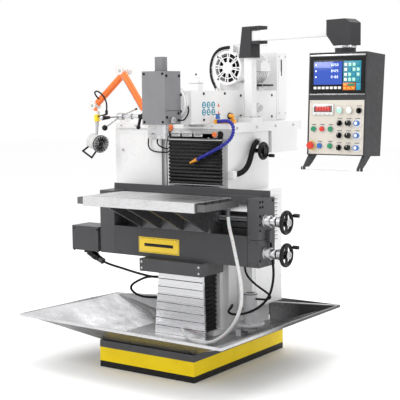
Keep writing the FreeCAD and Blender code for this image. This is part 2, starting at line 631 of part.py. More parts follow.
def make_pendant():
    """The post and the swinging arm that carry the control pendant."""
    foot = box((124, 228), ("post_y - 60", "post_y + 60"), ("bed_top", "bed_top + 30"))
    post = box(("post_x - post_half", "post_x + post_half"), ("post_y - post_half", "post_y + post_half"),
               ("bed_top", "post_top"))
    heads = [rod("z", (x, "post_y + %d" % y, "bed_top + 30"), 7, 6) for x in (136, 216) for y in (-46, 46)]
    socket = rod("z", ("post_x", "post_y", "post_top - 64"), "pivot_radius + 0.3", 65)
    part("pendant_post", cut(fuse(foot, post, *heads), socket))
    elbow = box(("post_x - 64", "post_x + 46"), ("post_y - 40", "post_y + 40"),
                ("post_top + 0.3", "elbow_top"))
    slope = turned(box(("post_x - 164", "post_x - 64"), ("post_y - 50", "post_y + 50"), (1860, 2120)),
                   (0, 1, 0), 9, (DIMS["post_x"] - 64, 0, DIMS["post_top"]))
    near = fuse(cut(elbow, slope), rod("z", ("post_x", "post_y", "post_top - 60"), "pivot_radius", 64),
                box(("post_x + 40", "post_x + 120"), ("post_y - 36", "post_y + 36"),
                    ("arm_low - 18", "arm_low")),
                box(("post_x + 40", "post_x + 120"), ("post_y - 36", "post_y + 36"),
                    ("arm_high", "elbow_top")))
    bar = box(("post_x + 38", "post_x + arm_length - 70"), ("post_y - 30", "post_y + 30"),
              ("arm_low", "arm_high"))
    end = "post_x + arm_length"
    reach = number(end)
    block = box(("%s - 108" % end, "%s + 75" % end), ("post_y - 45", "post_y + 45"), (1920.9, "elbow_top"))
    under = turned(box((reach - 300, reach + 92), (330, 450), (1785, 1985)), (0, 1, 0), 49,
                   (reach - 108, 0, 1985))
    over = turned(box((reach + 34, reach + 200), (330, 450), (2072, 2200)), (0, 1, 0), 30,
                  (reach + 34, 0, 2072))
    far = fuse(cut(block, under, over), rod("z", (end, "post_y", 1906), 62, 15.5),
               box(("%s + 40" % end, "%s + 96" % end), ("post_y - 70", "post_y - 62"), (1908, 1917)),
               box(("%s + 40" % end, "%s + 50" % end), ("post_y - 70", "post_y - 30"), (1908, 1917)))
    arm = turned(fuse(near, bar, far), (0, 0, 1), -DIMS["arm_turn"], (DIMS["post_x"], DIMS["post_y"], 0))
    part("pendant_arm", arm)


HINGE_X = DIMS["post_x"] + DIMS["arm_length"] * math.cos(math.radians(DIMS["arm_turn"]))
HINGE_Y = DIMS["post_y"] - DIMS["arm_length"] * math.sin(math.radians(DIMS["arm_turn"]))
CASE_LEFT = round(HINGE_X) - DIMS["case_width"] / 2
CASE_FRONT = round(HINGE_Y) - 92


def leaned(shape):
    """The pendant's face leans back at the top: everything on it turns about the top front edge."""
    return turned(shape, (1, 0, 0), -DIMS["case_lean"], (0, CASE_FRONT, DIMS["case_high"]))


def make_case():
    """The pendant's case with its brackets and grip, and the readout in its upper bay."""
    front, depth = CASE_FRONT, DIMS["case_depth"]
    body = wedge("x", [(front, "case_low"), (front + 205, "case_low"), (front + depth, "case_high"),
                       (front, "case_high")],
                 CASE_LEFT, "case_width")
    readout_bay = box((CASE_LEFT + 12, CASE_LEFT + 354), (front - 1, front + 30), (1650, 1858))
    panel_bay = box((CASE_LEFT + 10, CASE_LEFT + 356), (front - 1, front + 6), (1303, 1611))
    barrels = box((CASE_LEFT + 16, CASE_LEFT + 350), (front + 6, front + 50), (1315, 1580))
    brackets = [wedge("x", [(front + 10, 1299), (front + 90, 1299), (front + 30, 1250), (front - 30, 1212),
                            (front - 52, 1212), (front - 52, 1228)],
                      start, 16) for start in (CASE_LEFT + 4, CASE_LEFT + 346)]
    bar = rod("x", (CASE_LEFT - 10, front - 42, 1220), 7, 386)
    shell = leaned(fuse(cut(body, readout_bay, panel_bay, barrels), bar, *brackets))
    neck = rod("z", (HINGE_X, HINGE_Y, "case_high - 12"), 60, 36.7)
    part("pendant_case", fuse(shell, neck))
    unit = box((CASE_LEFT + 12.3, CASE_LEFT + 353.7), (front - 5, front + 29.7), (1650.3, 1857.7))
    screen = box((CASE_LEFT + 28, CASE_LEFT + 338), (front - 6, front - 3), (1664, 1838))
    part("readout_unit", leaned(cut(unit, screen)))


BUTTONS = [("green_button_left", 0.115, 1446), ("red_button", 0.263, 1446),
           ("green_button_right", 0.41, 1446),
           ("green_button_lower", 0.409, 1350), ("blue_switch", 0.229, 1350), ("emergency_stop", 0.085,
                                                                               1351)]
SELECTORS = [("selector_top", 0.893, 1551), ("selector_first", 0.565, 1480),
             ("selector_second", 0.565, 1411), ("selector_third", 0.565, 1342)]
DIALS = [("dial_first", 0.72, 1480), ("dial_second", 0.72, 1411), ("dial_third", 0.72, 1342)]
KNOBS = [("blue_knob_first", 0.868, 1480), ("blue_knob_second", 0.868, 1411),
         ("blue_knob_third", 0.868, 1342)]


def make_controls():
    """The panel below the readout and everything that turns or presses in it."""
    front = CASE_FRONT
    bezels, bores = [], []
    for name, share, z in BUTTONS + SELECTORS + DIALS + KNOBS:
        x = CASE_LEFT + share * DIMS["case_width"]
        wide = (name, share, z) in KNOBS
        bezels.append(rod("y", (x, front - 3, z), 21 if wide else 17, 4))
        bores.append(rod("y", (x, front - 4, z), 8.05, 14))
        stem = rod("y", (x, front - 6, z), 8, 34)
        if name == "emergency_stop":
            cap = fuse(rod("y", (x, front - 20, z), 11, 15), cone("y", (x, front - 36, z), 17, 22, 16))
        elif (name, share, z) in BUTTONS:
            cap = rod("y", (x, front - 13, z), 14, 8)
        elif (name, share, z) in SELECTORS:
            cap = fuse(rod("y", (x, front - 12, z), 15, 8.5),
                       box((x - 4.5, x + 4.5), (front - 26, front - 11), (z - 14, z + 14)))
        else:
            cap = fuse(rod("y", (x, front - 24, z), 15, 20.5),
                       box((x - 1, x + 1), (front - 25, front - 23), (z + 4, z + 13)))
        part(name, leaned(fuse(stem, cap)))
    lamps = [rod("y", (CASE_LEFT + share * DIMS["case_width"], front - 11, 1552), 15, 11)
             for share in (0.565, 0.73)]
    display = box((CASE_LEFT + 39, CASE_LEFT + 165), (front - 8, front + 1), (1527, 1586))
    plate = box((CASE_LEFT + 10.3, CASE_LEFT + 355.7), (front, front + 5.7), (1303.3, 1610.7))
    part("control_panel", leaned(cut(fuse(plate, display, *bezels, *lamps), *bores)))


# ---- coolant equipment and cables ------------------------------------------------------------

def make_coolant():
    """The coolant pump, and the valve and nozzle at the two ends of its hose."""
    x, y = 362, 85
    stand = box((290, 326), (30, 120), ("tray_floor + sheet", 212))
    skirt = rod("z", (x, y, 208), 50, 32)
    plate = rod("z", (x, y, 240), 90, 10)
    feet = [rod("z", (x + 74 * math.cos(a), y + 74 * math.sin(a), 250), 7, 12)
            for a in (0.6, 2.2, 3.7, 5.3)]
    motor = rod("z", (x, y, 250), 40, 110)
    ribs = [rod("z", (x, y, 268 + 18 * i), 43, 6) for i in range(5)]
    hood = rod("z", (x, y, 360), 42, 78)
    part("coolant_pump", fuse(stand, skirt, plate, motor, hood, *feet, *ribs))
    manifold = fuse(box((136, 262), (66, 92), ("bed_top", 1497)),
                    box((136, 156.4), (34, 92), ("bed_top", 1497)))
    valve = fuse(rod("z", (246, 79, 1496), 9, 30), rod("y", (246, 52, 1520), 8, 34),
                 ball((246, 52, 1520), 12))
    tip = FreeCAD.Vector(*COOLANT_ROUTE[-1])
    nozzle = Part.makeCone(12, 6, 58, tip, tip - FreeCAD.Vector(*COOLANT_ROUTE[-2]))
    part("coolant_fittings", group(fuse(manifold, valve), shaped(nozzle)))


COOLANT_ROUTE = [(158, 46, 1485), (204, 42, 1490), (247, 34, 1489), (280, 25, 1470), (293, 17, 1432),
                 (284, 10, 1393),
                 (254, 5, 1360), (206, 2, 1332), (150, 0, 1305), (92, 0, 1278), (33, 0, 1252)]
DRAIN_ROUTE = [(452, -290, 951), (455, -290, 912), (467, -293, 868), (484, -297, 822), (506, -304, 751),
               (531, -313, 674), (555, -323, 597), (570, -333, 522), (569, -341, 452), (549, -345, 392),
               (514, -342, 333), (468, -334, 286), (412, -320, 243), (346, -302, 208), (277, -286, 188),
               (208, -265, 184), (138, -238, 184), (79, -204, 197), (25, -171, 217)]
CONDUIT_ROUTE = [(240, 100, 1157), (243, 142, 1159), (249, 188, 1171), (253, 226, 1195), (254, 254, 1228),
                 (252, 278, 1268),
                 (248, 303, 1306), (243, 334, 1336), (239, 368, 1351)]
SERVO_ROUTE = [(-622, -137, 577), (-584, -135, 566), (-540, -133, 557), (-472, -130, 546),
               (-404, -126, 533), (-343, -122, 523), (-290, -117, 515), (-250, -106, 509),
               (-226, -82, 504), (-228, -54, 501), (-256, -40, 498), (-306, -42, 494), (-354, -46, 484),
               (-402, -48, 462), (-448, -50, 437), (-472, -48, 412), (-473, -38, 388), (-455, -20, 364),
               (-428, 4, 346), (-386, 28, 339), (-336, 52, 339), (-290, 74, 344), (-252, 92, 350),
               (-221.2, 105.1, 353.7)]
FEED_ROUTE = [(608, -78, 789), (612, -79, 745), (620, -80, 690), (627, -80, 640), (628, -80, 592),
              (620, -79, 536), (600, -76, 477), (559, -70, 424), (510, -62, 386), (456, -54, 356),
              (396, -48, 334), (341, -40, 321), (292, -28, 318), (258, -4, 322), (244, 32, 330),
              (239, 66, 338), (225, 92, 344)]
SENSOR_ROUTE = [(447, -110, 648), (449, -110, 618), (460, -108, 586), (486, -103, 556), (516, -94, 530),
                (543, -80, 508), (560, -58, 488), (565, -30, 468), (558, 0, 448), (536, 28, 430),
                (500, 52, 416), (456, 70, 408), (406, 84, 404)]


def make_cords():
    """The hoses and cables, each with its route and diameter."""
    tube("coolant_hose", (COOLANT_ROUTE, 22))
    tube("drain_hose", (DRAIN_ROUTE, 20))
    tube("side_conduit", (CONDUIT_ROUTE, 34))
    tube("servo_cable", (SERVO_ROUTE, 15))
    tube("feed_cable", (FEED_ROUTE, 15), (SENSOR_ROUTE, 13))


for build in (make_base, make_tray, make_column, make_bed, make_cabinets, make_way_covers, make_knee,
              make_knee_fittings, make_handwheels, make_table, make_ram, make_motor, make_head, make_lamp,
              make_pendant, make_case, make_controls, make_coolant, make_cords):
    build()
doc.recompute()

for item in doc.Objects:
    if "Invalid" in item.State or "Error" in item.State:
        raise RuntimeError("%s (%s) failed: %s" % (item.Name, item.Label, item.State))
os.makedirs("parts", exist_ok=True)
for label, feature in PARTS.items():
    shape = feature.Shape
    if shape.isNull() or not shape.isValid():
        raise RuntimeError(label + " has no valid shape")
    if len(label) >= 60:
        raise RuntimeError(label + " is too long a name")
    shape.exportStep("parts/%s.step" % label)
print(len(PARTS), "nodes", [(label, len(f.Shape.Solids)) for label, f in PARTS.items()
                            if len(f.Shape.Solids) != 1])
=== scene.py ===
import itertools
from math import cos, pi, radians, sin, tau

import bmesh
import bpy
from mathutils import Matrix, Vector


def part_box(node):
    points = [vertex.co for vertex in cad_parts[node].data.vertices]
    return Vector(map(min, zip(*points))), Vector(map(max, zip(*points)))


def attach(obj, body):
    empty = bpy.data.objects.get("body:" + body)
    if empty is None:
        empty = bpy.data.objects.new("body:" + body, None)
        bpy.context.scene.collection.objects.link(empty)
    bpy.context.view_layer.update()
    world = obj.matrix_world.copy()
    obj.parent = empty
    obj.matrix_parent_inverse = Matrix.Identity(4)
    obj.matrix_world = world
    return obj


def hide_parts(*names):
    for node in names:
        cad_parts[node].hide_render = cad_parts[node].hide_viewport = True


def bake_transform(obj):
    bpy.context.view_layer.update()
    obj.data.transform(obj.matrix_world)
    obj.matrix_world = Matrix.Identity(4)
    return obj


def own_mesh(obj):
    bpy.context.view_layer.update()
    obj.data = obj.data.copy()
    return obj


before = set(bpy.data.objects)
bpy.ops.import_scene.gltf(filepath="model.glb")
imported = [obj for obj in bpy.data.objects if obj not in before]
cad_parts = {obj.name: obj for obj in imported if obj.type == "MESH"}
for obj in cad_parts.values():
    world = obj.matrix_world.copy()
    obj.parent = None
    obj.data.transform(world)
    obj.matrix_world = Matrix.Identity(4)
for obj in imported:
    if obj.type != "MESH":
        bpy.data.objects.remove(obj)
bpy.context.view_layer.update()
MM = 0.001
CREASE = 0.62


def edges(node):
    """The lowest and highest corner of a CAD node, in millimetres."""
    low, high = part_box(node)
    return low / MM, high / MM


def show(thing):
    """The object, linked into the scene."""
    bpy.context.scene.collection.objects.link(thing)
    return thing


# ---- camera and light

FOCAL, AZIMUTH, PITCH, ROLL = 1020.568, 35.102, 5.900, -0.556
EYE = Vector((3.66247, -5.137126, 1.65))

lens = bpy.data.cameras.new("camera")
lens.sensor_width = 36
lens.lens = FOCAL / 400 * 36
lens.clip_end = 60
camera = show(bpy.data.objects.new("camera", lens))
camera.matrix_world = (Matrix.Translation(EYE) @ Matrix.Rotation(radians(AZIMUTH), 4, "Z")
                       @ Matrix.Rotation(radians(90 - PITCH), 4, "X")
                       @ Matrix.Rotation(radians(ROLL), 4, "Z"))
bpy.context.scene.camera = camera


def light(name, place, target, size, watts):
    """A soft square lamp aimed at a point."""
    data = bpy.data.lights.new(name, "AREA")
    data.size = size
    data.energy = watts
    lamp = show(bpy.data.objects.new(name, data))
    lamp.location = place
    lamp.rotation_euler = (Vector(target) - Vector(place)).to_track_quat("-Z", "Y").to_euler()


light("key", (-2.4, -4.4, 4.2), (0, 0, 1.0), 2.4, 105)
light("fill", (4.8, -1.4, 2.8), (0, 0, 1.0), 2.4, 36)
light("top", (0.2, 0.2, 5.2), (0, 0, 1.0), 3.0, 70)
light("rear", (-1.5, 4.5, 3.4), (0, 0, 1.2), 3.0, 60)

world = bpy.data.worlds.new("studio")
world.use_nodes = True
world.node_tree.nodes["Background"].inputs["Color"].default_value = (1, 1, 1, 1)
world.node_tree.nodes["Background"].inputs["Strength"].default_value = 1.0
bpy.context.scene.world = world
bpy.context.scene.view_settings.view_transform = "Standard"


# ---- materials

def linear(code):
    """A colour written as six hex digits, as linear light."""
    parts = [int(code[i:i + 2], 16) / 255 for i in (0, 2, 4)]
    return [p / 12.92 if p <= 0.04045 else ((p + 0.055) / 1.055) ** 2.4 for p in parts]


class Shader:
    """A material with a Principled shader and short calls for its nodes."""

    def __init__(self, name, rough=0.4, metal=0.0, coat=0.0, **sockets):
        self.material = bpy.data.materials.new(name)
        self.material.use_nodes = True
        self.tree = self.material.node_tree
        self.surface = self.tree.nodes["Principled BSDF"]
        for socket, value in {"Roughness": rough, "Metallic": metal, "Coat_Weight": coat, **sockets}.items():
            self.set(socket.replace("_", " "), value)
        self.where = self.node("TexCoord").outputs["Object"]

    def feed(self, socket, value):
        """A socket linked to another node's output, or set to a plain value."""
        if isinstance(value, bpy.types.NodeSocket):
            self.tree.links.new(value, socket)
        else:
            socket.default_value = value

    def set(self, socket, value):
        self.feed(self.surface.inputs[socket], value)

    def node(self, kind, *values, **named):
        """A new node with its sockets fed in their order or by name."""
        node = self.tree.nodes.new("ShaderNode" + kind)
        for socket, value in zip(node.inputs, values):
            self.feed(socket, value)
        for socket, value in named.items():
            self.feed(node.inputs[socket], value)
        return node

    def noise(self, scale, detail=4, rough=0.55, stretch=None):
        where = self.where
        if stretch:
            where = self.node("Mapping", Scale=stretch, Vector=where).outputs["Vector"]
        return self.node("TexNoise", Scale=scale, Detail=detail, Roughness=rough, Vector=where).outputs["Fac"]

    def cloud(self, noise, low=0.3, high=0.7, to_low=0, to_high=1):
        """Noise, given as its scale and so on, with the range from low to high turned into another."""
        return self.reach(self.noise(*noise), low, high, to_low, to_high)

    def cells(self, scale):
        return self.node("TexVoronoi", Scale=scale, Vector=self.where).outputs["Distance"]

    def wave(self, scale, axis="X"):
        node = self.node("TexWave", Scale=scale, Vector=self.where)
        node.bands_direction = axis
        return node.outputs["Fac"]

    def facing_up(self):
        """The upward part of the surface's direction."""
        return self.node("SeparateXYZ", self.node("NewGeometry").outputs["True Normal"]).outputs["Z"]

    def along(self, axis):
        return self.node("SeparateXYZ", self.where).outputs[axis]

    def reach(self, value, low, high, to_low, to_high):
        """A value's range from low to high turned into to_low to to_high, held at the ends."""
        return self.node("MapRange", value, low, high, to_low, to_high).outputs["Result"]

    def mix(self, share, first, second):
        node = self.node("Mix")
        node.data_type = "RGBA"
        self.feed(node.inputs["Factor"], share)
        for socket, value in ((6, first), (7, second)):
            self.feed(node.inputs[socket], value if isinstance(value, bpy.types.NodeSocket) else (*value, 1))
        return node.outputs[2]

    def product(self, first, second, operation="MULTIPLY"):
        node = self.node("Math", first, second)
        node.operation = operation
        return node.outputs[0]

    def relief(self, height, strength, distance=0.001):
        """One more layer of bump, on top of those already there."""
        node = self.node("Bump", Strength=strength, Distance=distance, Height=height)
        normal = self.surface.inputs["Normal"]
        if normal.is_linked:
            self.feed(node.inputs["Normal"], normal.links[0].from_socket)
        self.feed(normal, node.outputs["Normal"])


def tint(colour, by):
    """A colour made lighter or darker."""
    return [min(1.0, c * by) for c in colour]


def paint(name, code, rough=0.34, coat=0.25, vary=0.06, peel=0.12, grime=0.25, chips=0.0, cast=0.0,
        bare="8c8c8c"):
    """Painted metal: orange peel, faint clouding, grime in patches, fine scratches and a few chips."""
    s = Shader(name, rough=rough, coat=coat, Coat_Roughness=0.12)
    base = linear(code)
    colour = s.mix(s.cloud((7, 5)), tint(base, 1 - vary), tint(base, 1 + vary))
    dirt = s.product(s.cloud((3.2, 8, 0.68), 0.52, 0.78), grime)
    colour = s.mix(dirt, colour, tint(base, 0.62))
    scratch = s.cloud((46, 3, 0.5, (1, 1, 34)), 0.69, 0.73, 0, 0.35)
    colour = s.mix(scratch, colour, tint(base, 1.22))
    if chips:
        chip = s.product(s.reach(s.cells(34), 0.04, 0.07, 1, 0), s.cloud((5, 3), 0.56, 0.62, 0, chips))
        colour = s.mix(chip, colour, linear(bare))
    s.set("Base Color", colour)
    s.set("Roughness", s.cloud((24, 5), 0.25, 0.75, rough - 0.07, rough + 0.12))
    s.relief(s.noise(520, 2), peel, 0.0006)
    if cast:
        s.relief(s.noise(95, 4), cast, 0.0015)
    return s


def steel(name, code, rough=0.26, metal=1.0, grain=(1, 1, 90), scale=30, stain=0.3, aniso=0.3):
    """Ground or brushed metal: long fine grain, and darker stain in patches."""
    s = Shader(name, rough=rough, metal=metal, Anisotropic=aniso)
    base = linear(code)
    lines = s.noise(scale, 5, 0.7, grain)
    colour = s.mix(s.reach(lines, 0.3, 0.7, 0, 1), tint(base, 0.84), tint(base, 1.1))
    colour = s.mix(s.product(s.cloud((9, 7, 0.65), 0.5, 0.75), stain), colour, tint(base, 0.58))
    s.set("Base Color", colour)
    s.set("Roughness", s.cloud((scale * 1.3, 5, 0.7, grain), 0.2, 0.8, rough - 0.1, rough + 0.16))
    s.relief(lines, 0.12, 0.0004)
    return s


def plastic(name, code, rough=0.3, coat=0.15, vary=0.05, grain=0.08, **sockets):
    """Moulded plastic: a fine texture, handling marks and slight clouding."""
    s = Shader(name, rough=rough, coat=coat, **sockets)
    base = linear(code)
    colour = s.mix(s.cloud((30, 4)), tint(base, 1 - vary), tint(base, 1 + vary))
    s.set("Base Color", s.mix(s.product(s.cloud((80, 6, 0.7), 0.62, 0.74), 0.2), colour, tint(base, 1.35)))
    s.set("Roughness", s.cloud((60, 5), 0.25, 0.75, rough - 0.06, rough + 0.14))
    s.relief(s.noise(900, 2), grain, 0.0004)
    return s


def rubber(name, code, rough=0.55, dust=0.3):
    """Rubber or coated cloth: dull, dusty, with a fine woven grain."""
    s = Shader(name, rough=rough)
    base = linear(code)
    colour = s.mix(s.product(s.cloud((11, 8, 0.7), 0.45, 0.8), dust), base, tint(linear("6a6a6a"), 0.6))
    s.set("Base Color", colour)
    s.set("Roughness", s.cloud((35, 5), 0.25, 0.75, rough - 0.12, rough + 0.14))
    s.relief(s.product(s.wave(420, "X"), s.wave(420, "Z")), 0.16, 0.0004)
    s.relief(s.noise(140, 3), 0.1, 0.0008)
    return s


def glow(name, code, power=1.2):
    """A lit display: a fine pixel raster over its colour."""
    s = Shader(name, rough=0.12, coat=0.6)
    base = linear(code)
    raster = s.product(s.wave(700, "X"), s.wave(700, "Z"))
    colour = s.mix(s.reach(raster, 0, 1, 0, 1), tint(base, 0.92), tint(base, 1.08))
    s.set("Base Color", colour)
    s.set("Emission Color", colour)
    s.set("Emission Strength", power)
    s.set("Roughness", s.cloud((50, 4), 0.3, 0.7, 0.08, 0.2))
    s.relief(s.noise(60, 2), 0.03, 0.0004)
    return s


def banded_base():
    """The base: a black plinth, a yellow band and dark grey above it, with scuffs near the floor."""
    s = Shader("base_paint", rough=0.36, coat=0.25, Coat_Roughness=0.15)
    z = s.along("Z")
    band = s.reach(z, 0.0375, 0.0379, 0, 1)
    upper = s.reach(z, 0.1225, 0.1229, 0, 1)
    cloud = s.cloud((6, 6))
    yellow = s.mix(cloud, linear("f2cf00"), linear("fbdc08"))
    grey = s.mix(cloud, linear("47474a"), linear("525255"))
    colour = s.mix(upper, s.mix(band, linear("171718"), yellow), grey)
    scuff = s.product(s.cloud((22, 8, 0.7, (1, 1, 0.35)), 0.6, 0.72), s.reach(z, 0.0, 0.12, 0.6, 0.12))
    s.set("Base Color", s.mix(scuff, colour, linear("5c584c")))
    s.set("Roughness", s.cloud((26, 5), 0.25, 0.75, 0.28, 0.48))
    s.relief(s.noise(520, 2), 0.12, 0.0006)
    return s


def tray_sheet():
    """Oiled sheet steel: rolling grain, faint tide marks, and painted shade behind, to the right and
    underneath.
    """
    s = Shader("tray_sheet", rough=0.3, metal=0.6)
    grain = s.noise(60, 5, 0.7, (12, 1, 1))
    colour = s.mix(s.reach(grain, 0.3, 0.7, 0, 1), linear("b9b9bb"), linear("cfcfd1"))
    colour = s.mix(s.cloud((5, 9, 0.72), 0.5, 0.72, 0, 0.25), colour, linear("77777a"))
    ring = s.product(s.cloud((2.6, 3), 0.50, 0.52), s.cloud((2.6, 3), 0.52, 0.54, 1, 0))
    colour = s.mix(s.product(ring, 0.12), colour, linear("707073"))
    # painted shade: darker towards the rear, over the right wing and on faces turned down, mixed towards
    # near-black
    rear = s.reach(s.along("Y"), -0.36, -0.05, 0, 1)
    right = s.product(s.reach(s.along("X"), 0.1, 0.45, 0, 1), s.reach(s.along("Y"), -0.45, -0.1, 0, 1))
    dark = s.product(s.product(rear, 0.45), right, "MAXIMUM")
    under = s.reach(s.facing_up(), -0.2, -0.1, 0.93, 0)
    dark = s.product(dark, under, "MAXIMUM")
    colour = s.mix(s.product(dark, 0.92), colour, linear("262628"))
    s.set("Base Color", colour)
    s.set("Roughness", s.cloud((14, 7, 0.7), 0.3, 0.7, 0.2, 0.44))
    s.relief(s.noise(30, 5), 0.12, 0.001)
    s.relief(grain, 0.1, 0.0004)
    return s


def table_iron():
    """Cast iron: ground bright on the plate, grey paint on the ribs under it, the top face darker towards the
    right and the rear, and painted shade in the T-slots.
    """
    s = Shader("table_iron", rough=0.3, metal=0.5, Anisotropic=0.3)
    lines = s.noise(30, 5, 0.7, (1, 60, 60))
    ground = s.mix(s.reach(lines, 0.3, 0.7, 0, 1), linear("b9b9ba"), linear("dededf"))
    ground = s.mix(s.cloud((9, 8, 0.7), 0.55, 0.75, 0, 0.35), ground, linear("8b8b8c"))
    cast = s.mix(s.cloud((40, 6)), linear("4c4c4e"), linear("5e5e60"))
    plate = s.reach(s.along("Z"), 0.9935, 0.9945, 0, 1)
    # the top face made darker towards the right and the rear, to near-black
    top = s.product(s.reach(s.facing_up(), 0.8, 0.9, 0, 1), s.reach(s.along("X"), -0.12, 0.2, 0, 0.85))
    top_darker_right_rear = s.product(top, s.reach(s.along("Y"), -0.55, -0.4, 0.3, 1))
    ground = s.mix(top_darker_right_rear, ground, linear("2c2c2e"))
    # painted shade inside the T-slots: faces below the top, between the front and rear slot edges, mixed
    # towards near-black
    slots = s.reach(s.along("Z"), 1.047, 1.0495, 0.8, 0)
    painted_slot_shade = s.product(slots, s.product(s.reach(s.along("Y"), -0.56, -0.553, 0, 1), s.reach(s.along("Y"),
        -0.203, -0.197, 1, 0)))
    ground = s.mix(painted_slot_shade, ground, linear("232325"))
    s.set("Base Color", s.mix(plate, cast, ground))
    s.set("Roughness", s.cloud((22, 6, 0.6, (1, 30, 30)), 0.25, 0.75, 0.2, 0.46))
    s.relief(lines, 0.1, 0.0004)
    s.relief(s.noise(110, 4), 0.2, 0.001)
    return s


def screw_thread():
    """A trapezoid thread drawn as close turns along X on dark oiled steel."""
    s = steel("oiled_thread", "6e6e70", rough=0.28, grain=(90, 1, 1))
    s.relief(s.wave(62, "X"), 0.8, 0.0015)
    return s


M = {
    "base": banded_base(),
    "tray": tray_sheet(),
    "rim": steel("rim_sheet", "c9c9cb", rough=0.34, metal=0.6, grain=(1, 1, 1), scale=26, stain=0.25,
                 aniso=0),
    "white": paint("white_casting", "e3e3e3", rough=0.36, cast=0.12, grime=0.12, vary=0.02),
    "sheet": paint("white_sheet", "e6e6e6", rough=0.3, grime=0.1, vary=0.02),
    "grey": paint("grey_casting", "4b4b4d", rough=0.38, cast=0.22, chips=0.5, grime=0.35),
    "cover": paint("grey_sheet", "464648", rough=0.36, chips=0.35, grime=0.3),
    "dark": paint("dark_powder", "363638", rough=0.5, coat=0.05, peel=0.4, grime=0.2),
    "head": paint("head_grey", "77777a", rough=0.36, cast=0.16, grime=0.25),
    "beige": paint("panel_beige", "cfc8bd", rough=0.42, coat=0.1, grime=0.15, vary=0.03),
    "label": paint("label_grey", "b5b5b5", rough=0.4, coat=0.1, grime=0.2),
    "orange": paint("orange_gloss", "f07010", rough=0.26, coat=0.5, grime=0.1, chips=0.25, bare="e9e9e9"),
    "yellow": paint("yellow_gloss", "f7d000", rough=0.3, coat=0.4, grime=0.1),
    "amber": plastic("amber_plastic", "f0a21c", rough=0.3),
    "steel": steel("bright_steel", "cfcfd1", rough=0.24),
    "cross": steel("ground_steel", "c6c6c8", rough=0.22, grain=(90, 1, 1)),
    "alu": steel("cast_aluminium", "c4c4c6", rough=0.34, grain=(1, 1, 1), scale=120, aniso=0, stain=0.2),
    "pump": paint("pump_grey", "b9b9bb", rough=0.4, cast=0.2, grime=0.4),
    "slat": steel("slat_steel", "dcdcde", rough=0.24, metal=0.85, grain=(0.12, 1, 34), scale=8, stain=0),
    "thread": screw_thread(),
    "iron": table_iron(),
    "black": plastic("gloss_black", "0a0a0b", rough=0.22, coat=0.4),
    "bakelite": plastic("handwheel_black", "0e0e0f", rough=0.28, coat=0.35),
    "rubber": rubber("cable_rubber", "0b0b0c", dust=0.12),
    "bellows": plastic("bellows_cloth", "08080a", rough=0.26, coat=0.1, grain=0.03),
    "boot": rubber("boot_rubber", "070708", rough=0.4, dust=0.06),
    "blue": plastic("blue_cap", "1c63b0", rough=0.28),
    "hose": plastic("hose_blue", "141e96", rough=0.32, coat=0.2),
    "clear": plastic("hose_clear", "dedede", rough=0.28, coat=0.3, Transmission_Weight=0.25,
                     Subsurface_Weight=0.2),
    "green": plastic("green_cap", "0f8458", rough=0.26),
    "red": plastic("red_cap", "d02f18", rough=0.26),
    "ivory": plastic("white_plastic", "e4e4e2", rough=0.34),
    "teal": plastic("teal_print", "0d8ba4", rough=0.4),
    "screen": glow("screen_blue", "0b3c9c", 0.45),
    "digits": glow("screen_white", "e8f2ff", 0.7),
    "ruby": glow("display_red", "a00a12", 0.4),
    "lens": glow("lamp_lens", "eef7ee", 0.1),
    "mint": glow("lamp_mint", "a8e8d2", 0.1),
}
for dark in ("black", "bakelite", "rubber", "bellows", "boot", "dark", "grey", "cover", "base"):
    M[dark].set("Specular IOR Level", 0.22)
    M[dark].set("Coat Weight", 0.04)


# ---- shapes in millimetres

def flat_ring(count, radius=1.0, start=0):
    """Points round a circle, from start in degrees."""
    turns = [radians(start) + tau * i / count for i in range(count)]
    return [(radius * cos(turn), radius * sin(turn)) for turn in turns]


def aim(axis):
    """A turn that takes +Z to an axis."""
    return Vector((0, 0, 1)).rotation_difference(Vector(axis)).to_matrix().to_4x4()


AHEAD, ACROSS, UP = (0, -1, 0), (1, 0, 0), (0, 0, 1)


def disc(radius, height, drop, edge=1):
    """A turned profile with both rims broken: drop less in radius over the first and last edge."""
    return [(radius - drop, 0), (radius, edge), (radius, height - edge), (radius - drop, height)]


def spun(place, share, axis):
    """A share of a full turn about an axis, then a move to a place."""
    return Matrix.Translation(place) @ Matrix.Rotation(tau * share, 4, axis)


